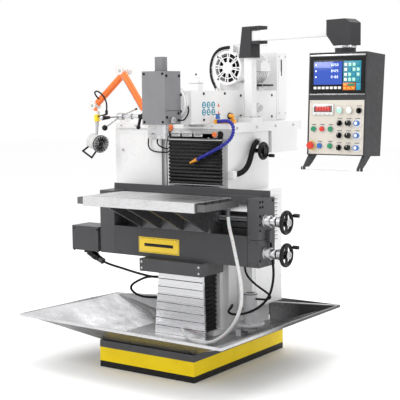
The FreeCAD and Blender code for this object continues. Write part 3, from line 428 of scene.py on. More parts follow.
class Piece:
    """One object made from shapes in millimetres, each with its own material."""

    def __init__(self, name, place=None):
        self.name = name
        self.mesh = bmesh.new()
        self.materials = []
        self.place = place or Matrix.Identity(4)

    def add(self, points, faces, material, move=None, bevel=0.0, segments=2):
        """Faces over points, with the edges between flat faces rounded by the bevel."""
        if material not in self.materials:
            self.materials.append(material)
        slot = self.materials.index(material)
        turn = self.place @ (move or Matrix.Identity(4))
        made = [self.mesh.verts.new(turn @ Vector(p)) for p in points]
        new = []
        for face in faces:
            item = self.mesh.faces.new([made[i] for i in face])
            item.material_index = slot
            new.append(item)
        bmesh.ops.recalc_face_normals(self.mesh, faces=new)
        if bevel:
            sharp = {e for f in new for e in f.edges if len(e.link_faces) == 2 and e.calc_face_angle(0) > 0.5}
            bmesh.ops.bevel(self.mesh, geom=list(sharp), offset=bevel, segments=segments, affect="EDGES",
                profile=0.6)
        return self

    def box(self, x, y, z, material, bevel=1.0, move=None):
        points = [(i, j, k) for k in z for j in y for i in x]
        faces = [(0, 2, 3, 1), (4, 5, 7, 6), (0, 1, 5, 4), (2, 6, 7, 3), (0, 4, 6, 2), (1, 3, 7, 5)]
        return self.add(points, faces, material, move, bevel)

    def panel(self, x, y, z, material, bevel=1.0):
        """A box with x measured from the pendant's left edge."""
        return self.box([LEFT + edge for edge in x], y, z, material, bevel)

    def lathe(self, profile, place, axis, material, count=40, move=None):
        """A turned shape: (radius, distance along the axis) pairs from one end to the other."""
        points, faces = [], []
        turn = Matrix.Translation(Vector(place)) @ aim(axis)
        for radius, along in profile:
            points += [turn @ Vector((max(radius, 0.01) * x, max(radius, 0.01) * y, along)) for x,
                y in flat_ring(count)]
        for ring in range(len(profile) - 1):
            start = ring * count
            for i in range(count):
                j = (i + 1) % count
                faces.append((start + i, start + j, start + count + j, start + count + i))
        faces.append(tuple(range(count)))
        faces.append(tuple(range((len(profile) - 1) * count, len(profile) * count)))
        return self.add(points, faces, material, move)

    def screws(self, size, x, y, z, axis, material, count=20):
        """Socket screws in every mix of the places; size is radius, height, rim, bore and its floor."""
        radius, tall, rim, bore, floor = size
        profile = [(radius, 0), (radius, tall), (rim, tall + 1), (bore, tall + 1), (bore, floor)]
        self.turned(profile, x, y, z, axis, material, count)

    def turned(self, profile, x, y, z, axis, material, count=40):
        """The same turned shape in every mix of the places."""
        for place in itertools.product(x, y, z):
            self.lathe(profile, place, axis, material, count)

    def rod(self, start, end, radius, material, count=24, edge=0.8):
        start, end = Vector(start), Vector(end)
        length = (end - start).length
        return self.lathe(disc(radius, length, edge, edge), start, end - start, material, count)

    def slab(self, outline, low, high, material, bevel=1.0, move=None):
        """A flat outline in X and Y, raised from low to high along Z."""
        n = len(outline)
        points = [(x, y, low) for x, y in outline] + [(x, y, high) for x, y in outline]
        faces = [tuple(reversed(range(n))), tuple(range(n, 2 * n))]
        faces += [(i, (i + 1) % n, n + (i + 1) % n, n + i) for i in range(n)]
        return self.add(points, faces, material, move, bevel)

    def tube(self, path, radius, material, count=12, closed=False):
        """A round bar swept along points; radius is a number or a function of the distance along it."""
        path = [Vector(p) for p in path]
        total = len(path)
        points, faces, along = [], [], 0.0
        normal = None
        for i, p in enumerate(path):
            before, after = path[max(i - 1, 0)], path[min(i + 1, total - 1)]
            if closed:
                before, after = path[i - 1], path[(i + 1) % total]
            ahead = (after - before).normalized()
            if normal is None:
                normal = ahead.orthogonal().normalized()
            normal = (normal - ahead * normal.dot(ahead)).normalized()
            side = ahead.cross(normal)
            if i:
                along += (p - path[i - 1]).length
            size = radius(along) if callable(radius) else radius
            points += [p + size * (x * normal + y * side) for x, y in flat_ring(count)]
        for ring in range(total if closed else total - 1):
            for i in range(count):
                j = (i + 1) % count
                after = (ring + 1) % total
                faces.append((ring * count + i, ring * count + j, after * count + j, after * count + i))
        if not closed:
            faces.append(tuple(range(count)))
            faces.append(tuple(range((total - 1) * count, total * count)))
        return self.add(points, faces, material)

    def done(self, body=None, crease=CREASE):
        """The finished object, shaded smooth up to the crease angle, riding on its body."""
        for edge in self.mesh.edges:
            edge.smooth = edge.calc_face_angle(0) < crease
        bmesh.ops.scale(self.mesh, vec=(MM, MM, MM), verts=self.mesh.verts)
        data = bpy.data.meshes.new(self.name)
        self.mesh.to_mesh(data)
        self.mesh.free()
        for face in data.polygons:
            face.use_smooth = True
        for key in self.materials:
            data.materials.append(M[key].material)
        thing = show(bpy.data.objects.new(self.name, data))
        if body:
            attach(thing, body)
        return thing


def about(point, degrees, axis):
    """A turn about a line through a point."""
    point = Vector(point)
    return Matrix.Translation(point) @ Matrix.Rotation(radians(degrees), 4, axis) @ Matrix.Translation(-point)


def smooth_line(route, name, fine=12):
    """Points read from the NURBS spline of a route, in metres."""
    data = bpy.data.curves.new(name, "CURVE")
    data.dimensions = "3D"
    spline = data.splines.new("NURBS")
    spline.points.add(len(route) - 1)
    for point, place in zip(spline.points, route):
        point.co = (*place, 1)
    spline.order_u = 3
    spline.use_endpoint_u = True
    spline.resolution_u = fine
    holder = show(bpy.data.objects.new(name, data))
    bpy.context.view_layer.update()
    line = bpy.data.meshes.new_from_object(holder.evaluated_get(bpy.context.evaluated_depsgraph_get()))
    points = [v.co.copy() for v in line.vertices]
    bpy.data.objects.remove(holder)
    bpy.data.meshes.remove(line)
    return points


# ---- cords

COOLANT_ROUTE = [(0.158, 0.046, 1.485), (0.204, 0.042, 1.490), (0.247, 0.034, 1.489), (0.280, 0.025, 1.470),
                 (0.293, 0.017, 1.432), (0.284, 0.010, 1.393), (0.254, 0.005, 1.360), (0.206, 0.002, 1.332),
                 (0.150, 0.000, 1.305), (0.092, 0.000, 1.278), (0.033, 0.000, 1.252)]
DRAIN_ROUTE = [(0.452, -0.290, 0.951), (0.455, -0.290, 0.912), (0.467, -0.293, 0.868), (0.484, -0.297,
    0.822), (0.506, -0.304, 0.751), (0.531, -0.313, 0.674), (0.555, -0.323, 0.597), (0.570, -0.333, 0.522),
    (0.569, -0.341, 0.452), (0.549, -0.345, 0.392), (0.514, -0.342, 0.333), (0.468, -0.334, 0.286), (0.412,
    -0.320, 0.243), (0.346, -0.302, 0.208), (0.277, -0.286, 0.188), (0.208, -0.265, 0.184), (0.138, -0.238,
    0.184), (0.079, -0.204, 0.197), (0.025, -0.171, 0.217)]
CONDUIT_ROUTE = [(0.240, 0.100, 1.157), (0.243, 0.142, 1.159), (0.249, 0.188, 1.171), (0.253, 0.226, 1.195),
    (0.254, 0.254, 1.228), (0.252, 0.278, 1.268), (0.248, 0.303, 1.306), (0.243, 0.334, 1.336), (0.239,
    0.368, 1.351)]
SERVO_ROUTE = [(-0.622, -0.137, 0.577), (-0.584, -0.135, 0.566), (-0.540, -0.133, 0.557), (-0.472, -0.130,
    0.546), (-0.404, -0.126, 0.533), (-0.343, -0.122, 0.523), (-0.290, -0.117, 0.515), (-0.250, -0.106,
    0.509), (-0.226, -0.082, 0.504), (-0.228, -0.054, 0.501), (-0.256, -0.040, 0.498), (-0.306, -0.042,
    0.494), (-0.354, -0.046, 0.484), (-0.402, -0.048, 0.462), (-0.448, -0.050, 0.437), (-0.472, -0.048,
    0.412), (-0.473, -0.038, 0.388), (-0.455, -0.020, 0.364), (-0.428, 0.004, 0.346), (-0.386, 0.028, 0.339),
    (-0.336, 0.052, 0.339), (-0.290, 0.074, 0.344), (-0.252, 0.092, 0.350), (-0.2212, 0.1051, 0.3537)]
FEED_ROUTE = [(0.608, -0.078, 0.789), (0.612, -0.079, 0.745), (0.620, -0.080, 0.690), (0.627, -0.080, 0.640),
    (0.628, -0.080, 0.592), (0.620, -0.079, 0.536), (0.600, -0.076, 0.477), (0.559, -0.070, 0.424), (0.510,
    -0.062, 0.386), (0.456, -0.054, 0.356), (0.396, -0.048, 0.334), (0.341, -0.040, 0.321), (0.292, -0.028,
    0.318), (0.258, -0.004, 0.322), (0.244, 0.032, 0.330), (0.239, 0.066, 0.338), (0.225, 0.092, 0.344)]
SENSOR_ROUTE = [(0.447, -0.110, 0.648), (0.449, -0.110, 0.618), (0.460, -0.108, 0.586), (0.486, -0.103,
    0.556), (0.516, -0.094, 0.530), (0.543, -0.080, 0.508), (0.560, -0.058, 0.488), (0.565, -0.030, 0.468),
    (0.558, 0.000, 0.448), (0.536, 0.028, 0.430), (0.500, 0.052, 0.416), (0.456, 0.070, 0.408), (0.406,
    0.084, 0.404)]


def bend(route, name, fine=12):
    """The smooth line through a route, both in millimetres."""
    return [p / MM for p in smooth_line([[c * MM for c in p] for p in route], name, fine)]


def beads(pitch, small, large):
    """The radius of a hose made of ball joints, by the distance along it."""
    return lambda along: small + (large - small) * abs(sin(pi * along / pitch)) ** 0.6


def ribs(pitch, small, large):
    """The radius of a ribbed conduit, by the distance along it."""
    return lambda along: large if (along / pitch) % 1 < 0.55 else small


def cord(name, node, route, diameter, material, shape=None, body=None, fine=12,
        count=14):
    """A cord on its route, in metres, in place of its CAD node."""
    line = smooth_line(route, name + "_line", fine)
    piece = Piece(name)
    piece.tube([p / MM for p in line], shape or diameter / MM / 2, material, count)
    thing = piece.done(body)
    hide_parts(node)
    return thing


cord("coolant_line", "coolant_hose", COOLANT_ROUTE, 0.022, "hose", beads(17, 5.6, 11.8),
    body="frame", fine=48, count=20)
cord("conduit_line", "side_conduit", CONDUIT_ROUTE, 0.034, "rubber", ribs(7, 15.6, 17.2),
    body="frame", fine=40, count=24)
drain = cord("drain_line", "drain_hose", DRAIN_ROUTE, 0.020, "clear", body="table",
    count=18)
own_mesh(drain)
servo = cord("servo_line", "servo_cable", SERVO_ROUTE, 0.015, "rubber")
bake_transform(servo)
feed = cord("feed_line", "feed_cable", FEED_ROUTE, 0.015, "rubber")
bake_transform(feed)
sensor = cord("sensor_line", "feed_cable", SENSOR_ROUTE, 0.013, "rubber")
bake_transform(sensor)


# ---- finishes on the CAD nodes

# (material, edge rounding in millimetres): the nodes that get them
FINISH = {
    ("base", 3): "base", ("tray", 0): "chip_tray", ("white", 4): "column", ("white", 3): "ram_bed",
    ("white", 0): "ram spindle_motor", ("sheet", 4): "belt_cover",
    ("sheet", 3): "electric_cabinet power_cabinet",
    ("sheet", 0): "pendant_post", ("amber", 0): "coolant_fittings", ("pump", 0): "coolant_pump",
    ("grey", 3): "knee", ("grey", 0): "feed_gearbox", ("cover", 1.5): "front_cover",
    ("cover", 2.5): "feed_drive_cover", ("steel", 0): "lifting_screw quill spindle",
    ("thread", 0): "table_screw", ("iron", 2): "table_slide", ("iron", 0): "angle_table",
    ("bakelite", 0): "knee_handwheel table_handwheel ram_handwheel", ("head", 0): "vertical_head",
    ("cross", 0): "quill_lever", ("orange", 0): "lamp_lower_arm lamp_upper_arm", ("alu", 0): "lamp_head",
    ("dark", 0): "pendant_arm pendant_case", ("beige", 0): "control_panel",
    ("red", 0): "red_button emergency_stop", ("black", 1): "readout_unit",
    ("green", 0): "green_button_left green_button_right green_button_lower",
    ("blue", 0): "blue_switch blue_knob_first blue_knob_second blue_knob_third",
    ("black", 0): "motor_fan quill_clamp dial_first dial_second dial_third "
                  "selector_top selector_first selector_second selector_third",
}
finished = [(node, *finish) for finish, nodes in FINISH.items() for node in nodes.split()]
for node, material, bevel in finished:
    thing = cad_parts[node]
    for slot in thing.material_slots:
        slot.material = M[material].material
    if bevel:
        weld = thing.modifiers.new("weld", "WELD")
        weld.merge_threshold = 0.00005
        soft = thing.modifiers.new("edges", "BEVEL")
        soft.width = bevel * MM
        soft.segments = 2
        soft.limit_method = "ANGLE"
        soft.angle_limit = radians(40)
        soft.use_clamp_overlap = True
        thing.modifiers.new("normals", "WEIGHTED_NORMAL")


# ---- base, tray and column

rim = Piece("tray_rim")
TRAY = [(-805, -712), (714, -764), (723, 562), (-734, 124)]
TRAY_TOP, TRAY_BOTTOM = 313, 173
rim.tube([(x, y, TRAY_TOP) for x, y in TRAY], 5.5, "rim", closed=True)
rim.done("frame")

folds = Piece("tray_folds")
for (x, y), (fx, fy) in zip(TRAY, [(-350, -470), (325, -470), (325, 500), (-350, 100)]):
    folds.tube([(x * 0.985, y * 0.985, TRAY_TOP - 4), (fx, fy, TRAY_BOTTOM)], 3, "rim", count=8)
folds.done("frame")

strip = Piece("label_strip")
strip.box((-374, 265), (34, 39.5), (1377, 1437), "label", 1.5)
for low, high in ((-352, -292), (-278, -206), (-190, -118), (-104, -28), (-14, 52)):
    strip.box((low, high), (32.6, 34.5), (1390, 1424), "alu", 0.6)
    for short, z in ((6, (1404, 1409)), (18, (1396, 1399))):
        strip.box((low + 6, high - short), (32.2, 33), z, "dark", 0.2)
strip.turned([(4, 0), (4, 1.4), (2.6, 2)], (-366, 96), [34.2], (1384, 1430), AHEAD, "steel", 16)
strip.done("frame")

start_button = Piece("round_button")
start_button.lathe([(22, 0), (22, 5), (17, 8), (17, 6), (12, 6)], (185, 34, 1405), AHEAD, "black")
start_button.lathe([(20, 0), (20, 9), (15, 10)], (150, 34, 1405), AHEAD, "label")
start_button.lathe([(16, 8), (16, 17), (13.5, 19.5), (0, 20)], (150, 34, 1405), AHEAD, "orange")
start_button.lathe([(9, 0), (9, 16), (7, 19), (0, 19.6)], (-330, 34, 1460), AHEAD, "black")
start_button.done("frame")

fitting = Piece("oil_fitting")
fitting.box((-213, -181), (18, 41), (1424, 1462), "orange", 1.5)
fitting.lathe([(7, 0), (7, 8), (5, 10)], (-197, 18, 1443), AHEAD, "alu", 20)
fitting.tube([(-197, 30, 1425), (-197, 27, 1400), (-206, 20, 1380), (-213, 18, 1340), (-213, 18, 1120),
    (-213, 18, 1060)], 3.2, "black")
fitting.done("frame")

lines = Piece("oil_lines")
for route in (((-374, 40, 1374), (-377, 36, 1344), (-368, 33, 1314), (-344, 31, 1297), (-311, 30, 1290),
        (-268, 30, 1287), (-226, 29, 1288), (-211, 28, 1290)), ((-300, 40, 1377), (-304, 36, 1358), (-298,
        33, 1340), (-280, 31, 1326), (-250, 30, 1316), (-226, 29, 1312), (-211, 28, 1311))):
    lines.tube(bend(route, "oil_route"), 4.6, "rubber")
lines.done("frame")

bolts = Piece("bed_bolts")
bolts.screws((7, 4, 5.5, 3.5, 2), (-600, -480, -90, 120), [40], [1455], AHEAD, "steel")
bolts.screws((9, 4, 7, 4.5, 2), [230], (150, 380, 610, 840), [1442], ACROSS, "steel")
bolts.done("frame")

louvres = Piece("cabinet_louvres")
low, high = edges("power_cabinet")
for i in range(11):
    z = high.z - 60 - 26 * i
    louvres.box((high.x - 1, high.x + 4), (low.y + 60, high.y - 60), (z, z + 12), "sheet", 1.5,
        about((high.x, 0, z), 14, "Y"))
    # a dark strip under each blade: painted shade in the louvre opening
    louvres.box((high.x - 0.5, high.x + 0.6), (low.y + 62, high.y - 62), (z - 5, z), "dark", 0.2)
louvres.box((high.x, high.x + 1.5), (low.y + 24, low.y + 27), (low.z + 30, high.z - 30), "label", 0.3)
louvres.done("frame")

seams = Piece("cabinet_door")
low, high = edges("electric_cabinet")
seams.box((low.x + 40, low.x + 380), (low.y - 3, low.y + 0.5), (low.z + 40, high.z - 110), "sheet", 1.5)
seams.turned([(9, 0), (9, 4), (7, 6), (3, 6), (3, 4)], [low.x + 64], [low.y - 2], (low.z + 130,
    high.z - 210), AHEAD, "label", 24)
seams.done("frame")

# ---- covers that stretch with the knee on the machine, built here at one fixed length


def pleated(name, node, rows, section, material, inner):
    """A concertina of folds: the section's outline at each level, drawn in on every other one."""
    piece = Piece(name)
    low, high = edges(node)
    points, faces = [], []
    count = len(section)
    middle = Vector((sum(p[0] for p in section) / count, sum(p[1] for p in section) / count))
    levels = 4 * rows + 1
    for i in range(levels):
        z = low.z + (high.z - low.z) * i / (levels - 1)
        fold = (0.5 - 0.5 * cos(tau * i / 4)) ** 0.8
        for x, y in section:
            away = Vector((x, y)) - middle
            shift = away.normalized() * inner * fold
            points.append((x - shift.x, y - shift.y, z))
    for i in range(levels - 1):
        for j in range(count):
            k = (j + 1) % count
            faces.append((i * count + j, i * count + k, (i + 1) * count + k, (i + 1) * count + j))
    piece.add(points, faces, material)
    return piece


def rounded(x, y, radius, steps=5):
    """A rectangle's outline with rounded corners."""
    outline = []
    for cx, cy, start in ((x[1] - radius, y[1] - radius, 0), (x[0] + radius, y[1] - radius, 90),
            (x[0] + radius, y[0] + radius, 180), (x[1] - radius, y[0] + radius, 270)):
        for i in range(steps + 1):
            turn = radians(start + 90 * i / steps)
            outline.append((cx + radius * cos(turn), cy + radius * sin(turn)))
    return outline


low, high = edges("lower_bellows")
PLEATS = 13
boot = pleated("knee_boot", "lower_bellows", PLEATS, rounded((low.x, high.x), (low.y, high.y), 26), "boot",
    11)
boot = boot.done(crease=3)
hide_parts("lower_bellows")
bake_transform(boot)

low, high = edges("upper_bellows")
curtain = Piece("column_curtain")
points, faces = [], []
rows, across = PLEATS * 6, 24
for i in range(rows + 1):
    z = low.z + (high.z - low.z) * i / rows
    fold = abs(sin(pi * i / 6)) ** 0.7
    for j in range(across + 1):
        share = j / across
        edge = min(share, 1 - share) * across
        half = (high.x - low.x) / 2 - (9 * (1 - fold) if edge < 1 else 0)
        x = (low.x + high.x) / 2 + (2 * share - 1) * half
        y = high.y - 4.5 - 5.5 * fold + 1.4 * sin(share * 5 + i * 0.21)
        points.append((x, y, z))
for i in range(rows):
    for j in range(across):
        a = i * (across + 1) + j
        faces.append((a, a + 1, a + across + 2, a + across + 1))
curtain.add(points, faces, "bellows")
for x in (low.x + 15, high.x - 15):
    for i in range(PLEATS):
        z = low.z + (high.z - low.z) * (i + 0.5) / PLEATS
        curtain.box((x - 1.5, x + 1.5), (low.y + 0.4, low.y + 3), (z - 8, z + 8), "dark", 0.5)
for z in (high.z - 7, low.z):
    curtain.box((low.x + 4, high.x - 4), (low.y, high.y), (z, z + 7), "steel", 1)
curtain = curtain.done(crease=2.4)
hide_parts("upper_bellows")
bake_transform(curtain)

low, high = edges("lower_way_cover")
shutter = Piece("way_shutter")
SLATS = 8
step = (high.z - low.z - 4) / SLATS
for i in range(SLATS):
    base = low.z + step * i
    front = low.y + 1.7 * i
    half = high.x - 3 * i
    flare = 9 if i == 0 else 2.5
    profile = [(front + 1.2, base + step + 3), (front + 0.4, base + step * 0.7), (front + 0.2, base + 12),
        (front - flare * 0.2, base + 5), (front - flare * 0.5 + 1, base)]
    points, faces = [], []
    for y, z in profile:
        points += [(-half, y + 14, z), (-half, y, z), (half, y, z), (half, y + 14, z)]
    for y, z in profile:
        points += [(-half + 1.5, y + 14, z), (-half + 1.5, y + 1.5, z), (half - 1.5, y + 1.5, z),
            (half - 1.5, y + 14, z)]
    depth = 4 * len(profile)
    for r in range(len(profile) - 1):
        for c in range(3):
            a = 4 * r + c
            faces.append((a, a + 1, a + 5, a + 4))
            faces.append((depth + a, depth + a + 4, depth + a + 5, depth + a + 1))
    for c in range(3):
        for a in (c, 4 * (len(profile) - 1) + c):
            faces.append((a, a + 1, depth + a + 1, depth + a))
    shutter.add(points, faces, "slat")
    shutter.box((-half + 4, half - 4), (front - 1.6, front + 0.6), (base + step - 4, base + step + 1),
        "dark", 0.6)
shutter = shutter.done()
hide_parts("lower_way_cover")
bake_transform(shutter)

# ---- knee

low, high = edges("front_cover")
plate = Piece("name_plate")
px, pz = (-283, 28), (676, 774)
plate.box(px, (low.y - 2.5, low.y + 0.5), pz, "yellow", 1)
for x in (px[0] + 5, px[1] - 7):
    plate.box((x, x + 2), (low.y - 3, low.y - 2), (pz[0] + 5, pz[1] - 5), "black", 0.2)
for z in (pz[0] + 5, pz[1] - 7):
    plate.box((px[0] + 5, px[1] - 5), (low.y - 3, low.y - 2), (z, z + 2), "black", 0.2)
plate.box((px[0] + 44, px[1] - 44), (low.y - 3.2, low.y - 2), (716, 736), "black", 0.4)
plate.turned([(4, 0), (4, 1), (2, 2.4), (0, 2.6)], (px[0] + 14, px[1] - 14), [low.y - 2.4], (pz[0] + 14,
    pz[1] - 14), AHEAD, "steel", 16)
plate.done("knee_body")

screws = Piece("knee_screws")
SMALL = (6, 2, 4.6, 3, 1)
gear_low, gear_high = edges("feed_gearbox")
SIDE = gear_high.x - 82
for y, z in ((-178, 1031), (-150, 1031), (-178, 1001), (-150, 1001), (-178, 950), (-178, 900), (-178, 866),
        (-34, 1031), (-34, 690), (-178, 690)):
    screws.screws((7.5, 3, 6, 4, 1), [SIDE - 0.3], [y], [z], ACROSS, "black")
for x, z in ((532, 1034), (532, 846), (532, 794), (532, 668), (584, 668), (584, 794)):
    screws.screws(SMALL, [x], [gear_low.y + 0.3], [z], AHEAD, "cover")
screws.screws(SMALL, (-440, -180, 120, 400), [low.y + 0.3], (664, 814), AHEAD, "cover")
screws.screws((7, 3, 5, 3.5, 1), (-215, 215), [-252.7], (590, 628), AHEAD, "steel")
screws.box((519.5, SIDE), (gear_low.y - 0.5, gear_low.y + 1), (808.5, 811.5), "black", 0.2)
screws.box((517.5, 520), (gear_low.y - 0.5, gear_low.y + 1), (652, 1046), "black", 0.2)
screws.box((SIDE - 0.5, SIDE + 0.5), (gear_low.y + 4, -18), (808.5, 811.5), "black", 0.2)
screws.done("knee_body")

ways = Piece("slide_ways")
for z in ((958, 997), (738, 777)):
    ways.box((-479, 518), (-83.1, -81.5), z, "cross", 0.3)
for z in (858, 900, 942):
    for start, end in ((-479.5, -290), (290, 518.5)):
        ways.rod((start, -70, z), (end, -70, z), 3.4, "black")
ways.done("knee_body")

drive = Piece("drive_cover_trim")
low = edges("feed_drive_cover")[0]
drive.screws(SMALL, (low.x + 18, -618), [low.y + 0.2], (650, 792), AHEAD, "black")
drive.box((-610.5, -607), (low.y - 0.6, low.y + 1), (632, 805), "black", 0.2)
drive.box((-766, -699), (-163, -115), (629, 650.5), "black", 5)
start, end = Vector((-742, -140, 634)), Vector((-624, -137, 578))
drive.lathe([(19, 0), (23, 3), (23, 30), (20.6, 33), (20.6, 36), (24, 38), (24, 74), (21, 78), (20.6, 100),
    (14, 112), (9.5, 128), (8.4, 134)], start, end - start, "black", 40)
for i in range(12):
    drive.box((23.4, 25.2), (-2, 2), (42, 70), "black", 0.6,
        Matrix.Translation(start) @ aim(end - start) @ spun((0, 0, 0), i / 12, "Z"))
drive.done("knee_body")

SHAFT_Y = -127
WHEELS = {"table_handwheel": ("feed_screw", 918), "knee_handwheel": ("knee_wheel", 730)}
for node, (body, z) in WHEELS.items():
    sleeve = Piece(node + "_hub")
    sleeve.lathe([(34.6, 0), (38, 1), (38, 9), (35.5, 12), (35.2, 44), (34, 46.2)], (SIDE + 0.2, SHAFT_Y, z),
        ACROSS, "alu", 56)
    sleeve.lathe([(29, 46), (29.6, 47), (29.6, 80), (28.6, 81.5)], (SIDE + 0.2, SHAFT_Y, z), ACROSS, "cross",
        56)
    sleeve.done("knee_body")
    cap = Piece(node + "_cap")
    cap.lathe([(25, 0), (31, 2), (31, 32), (28, 35), (25, 36)], (689, SHAFT_Y, z), ACROSS, "alu", 56)
    for i in range(40):
        cap.box((695, 707 if i % 5 else 713), (-0.5, 0.5), (30.8, 31.4), "black", 0, spun((0, SHAFT_Y, z),
            i / 40, "X"))
    cap.lathe([(23, 0), (24, 1), (22, 5), (11, 6), (11, 3), (0, 3)], (759, SHAFT_Y, z), ACROSS, "alu", 40)
    cap.done(body)

# ---- ram, head and motor

low, high = edges("ram")
RIGHT = 100
marks = Piece("sign_plate")
for i in range(3):
    for j in range(2):
        y, z = -18 + 50 * i, 1586 - 44 * j
        marks.lathe([(20.5, 0), (20.5, 1), (20, 1.4)], (RIGHT - 0.2, y, z), ACROSS, "teal", 32)
        marks.lathe([(6.5, 0), (6.5, 1), (6, 1.4)], (RIGHT + 0.6, y, z + 6), ACROSS, "ivory", 16)
        marks.box((RIGHT + 0.6, RIGHT + 1.8), (y - 10, y + 10), (z - 12, z - 4), "ivory", 0.3)
for z in (1584, 1536):
    flat = Matrix.Translation((RIGHT - 0.2, 141, z)) @ Matrix(((0, 0, 1, 0), (1, 0, 0, 0), (0, 1, 0, 0),
        (0, 0, 0, 1)))
    marks.slab([(-13, -11), (13, -11), (0, 13)], 0, 1.4, "orange", 0.4, flat)
    marks.slab([(-1.4, -4), (1.4, -4), (1.4, 5), (-1.4, 5)], 1.2, 2, "black", 0.2, flat)
marks.done("ram_body")

studs = Piece("ram_screws")
MEDIUM = (8, 4, 6.4, 4, 1.5)
for y, z in ((-20, 1655), (211, 1655), (-20, 1496), (396, 1641), (396, 1511), (780, 1641), (780, 1500)):
    studs.screws(MEDIUM, [RIGHT - 0.3], [y], [z], ACROSS, "black")
studs.lathe([(21, 0), (23, 3), (23, 5), (17, 7), (16, 11), (19, 14), (19, 20), (16, 22.6), (0, 23)],
    (RIGHT - 0.3, 262, 1512), ACROSS, "black")
studs.lathe([(5, 0), (5, 0.5), (0, 0.8)], (RIGHT + 22.6, 262, 1512), ACROSS, "alu", 20)
studs.lathe([(31, 0), (31, 4), (26, 8), (20, 10), (20, 30), (16, 34), (0, 35)], (RIGHT - 0.3, 600, 1560),
    ACROSS, "alu", 48)
studs.box((RIGHT - 0.5, RIGHT + 1.2), (438, 440.5), (1476, 1669), "label", 0.3)
studs.lathe([(24, 0), (24, 5), (20, 9), (20, 24), (22, 26), (22, 34), (17, 38), (0, 39)], (-23, 76,
    high.z - 0.5), UP, "ivory")
studs.lathe([(5, 0), (5, 10), (3, 14)], (-23, 76, high.z + 38), UP, "black", 20)
studs.box((-57, 11), (47, 105), (high.z - 12, high.z - 9), "label", 0.5)
studs.done("ram_body")

top = edges("belt_cover")[1]
slot = Piece("belt_cover_slot")
# a black box on the cover: painted shade in the slot's opening
slot.box((top.x - 1, top.x + 0.8), (898, 908), (1770, 1880), "black", 2)
slot.box((top.x - 1, top.x + 0.5), (858, 860), (1500, top.z - 16), "label", 0.2)
slot.screws((6, 3, 4.8, 3, 1.5), [top.x - 0.3], (872, 952), (1520, 1900), ACROSS, "steel")
slot.done("ram_body")

low, high = edges("vertical_head")
head = Piece("head_trim")
head.screws((7, 4, 5.6, 3.6, 1.5), (-68, 68), [low.y + 0.3], (low.z + 16, 1772), AHEAD, "black")
for y, z in ((-372, 1520), (-332, 1494), (-298, 1494), (-260, 1500), (-260, 1540), (-250, 1760), (-374,
        1760)):
    head.screws(MEDIUM, [83.7], [y], [z], ACROSS, "black")
head.box((83.5, 84.8), (low.y + 3, -238), (1556, 1558.5), "black", 0.2)
head.box((-27, 27), (-339, -285), (1788, 1793), "head", 1)
head.lathe([(21, 0), (21, 6), (18, 9), (10, 10), (10, 6)], (96, -330, 1500), ACROSS, "alu", 40)
head.tube([p / MM for p in smooth_line([(0.088, -0.25, 1.50), (0.104, -0.247, 1.497), (0.119, -0.238, 1.508),
    (0.126, -0.222, 1.534), (0.124, -0.208, 1.562), (0.108, -0.196, 1.580), (0.096, -0.185, 1.590)],
    "head_lead")], 4.5, "rubber")
head.done("ram_body")
rings = Piece("swivel_ring")
SWIVEL = 1600
rings.tube([(x, -216, SWIVEL + z) for x, z in flat_ring(90, 113)], 2.2, "cross", closed=True)
for i in range(72):
    rings.box((109.5, 113.4), (-206 if i % 6 else -212, -200.5), (-0.5, 0.5), "black", 0, spun((0, 0,
        SWIVEL), i / 72, "Y"))
for x, z in flat_ring(6, 98, 30):
    rings.screws((8, 5, 6.4, 4, 2), [x], [-234.2], [SWIVEL + z], AHEAD, "black")
rings.done("ram_body")

nose = Piece("spindle_nose")
nose.lathe(disc(37, 10, 0.6), (0, -312, 1395), UP, "cross", 56)
for x in (-1, 1):
    nose.box((x * 20 - 7, x * 20 + 7), (-320, -304), (1389.5, 1394), "steel", 1)
nose.done("spindle_body")

CENTRE = 1819
front = edges("spindle_motor")[0].y + 2
grill = Piece("fan_grill")


def hoop(piece, radius, wide, y, deep, material):
    """A flat ring on the motor's front."""
    profile = [(radius - wide / 2, 0), (radius + wide / 2, 0), (radius + wide / 2, deep), (radius - wide / 2,
        deep)]
    points, faces = [], []
    for r, d in profile:
        points += [(r * x, y + d, CENTRE + r * z) for x, z in flat_ring(64)]
    for ring in range(4):
        for i in range(64):
            j = (i + 1) % 64
            after = (ring + 1) % 4
            faces.append((ring * 64 + i, ring * 64 + j, after * 64 + j, after * 64 + i))
    piece.add(points, faces, material)


for radius, wide in ((101, 15), (68, 5), (33, 9)):
    hoop(grill, radius, wide, front - 2.5, 3, "sheet")
for i in range(8):
    grill.box((36, 95), (front - 2.2, front + 0.4), (-3.6, 3.6), "sheet", 0.4, spun((0, 0, CENTRE),
        (i + 0.25) / 8, "Y"))
grill.lathe([(31, 0), (31, 3), (27, 5), (0, 5.5)], (0, front, CENTRE), AHEAD, "sheet")
for x, z in flat_ring(4, 101, 45):
    grill.lathe([(6, 0), (6, 3), (4, 4.4), (0, 4.6)], (x, front - 2, CENTRE + z), AHEAD, "black", 18)
# a black disc behind the grill: painted shade inside the fan cowl
grill.lathe([(92, 0), (92, 1), (91, 1.2)], (0, front + 50, CENTRE), AHEAD, "black", 48)
grill.done("ram_body")

harness = Piece("motor_conduit")
wiring = [(20, 400, 1949), (-42, 403, 1951), (-101, 404, 1917), (-132, 404, 1856), (-136, 404, 1790), (-122,
    404, 1736), (-100, 404, 1702), (-90, 404, 1676)]
harness.tube(bend(wiring, "wiring", 24), ribs(6, 9.6, 10.8), "rubber", 20)
harness.done("ram_body")

plate = Piece("motor_plates")
plate.box((104, 152.5), (558, 672), (1794, 1798), "label", 1)
plate.screws((5, 3, 4, 2.6, 1.5), [150.8], (572, 658), [1858], ACROSS, "steel", 18)
plate.box((60, 128), (620, 760), (1698, 1716), "black", 3)
plate.done("ram_body")

# ---- quill lever and clamp

LEVER = (-350, -272, 1521)


def spoke(piece, angle, profile, material):
    """A part turned about a line from the lever's centre, angle degrees from upright."""
    piece.lathe(profile, (0, 0, 0), UP, material, 32, spun(LEVER, angle / 360, "X"))


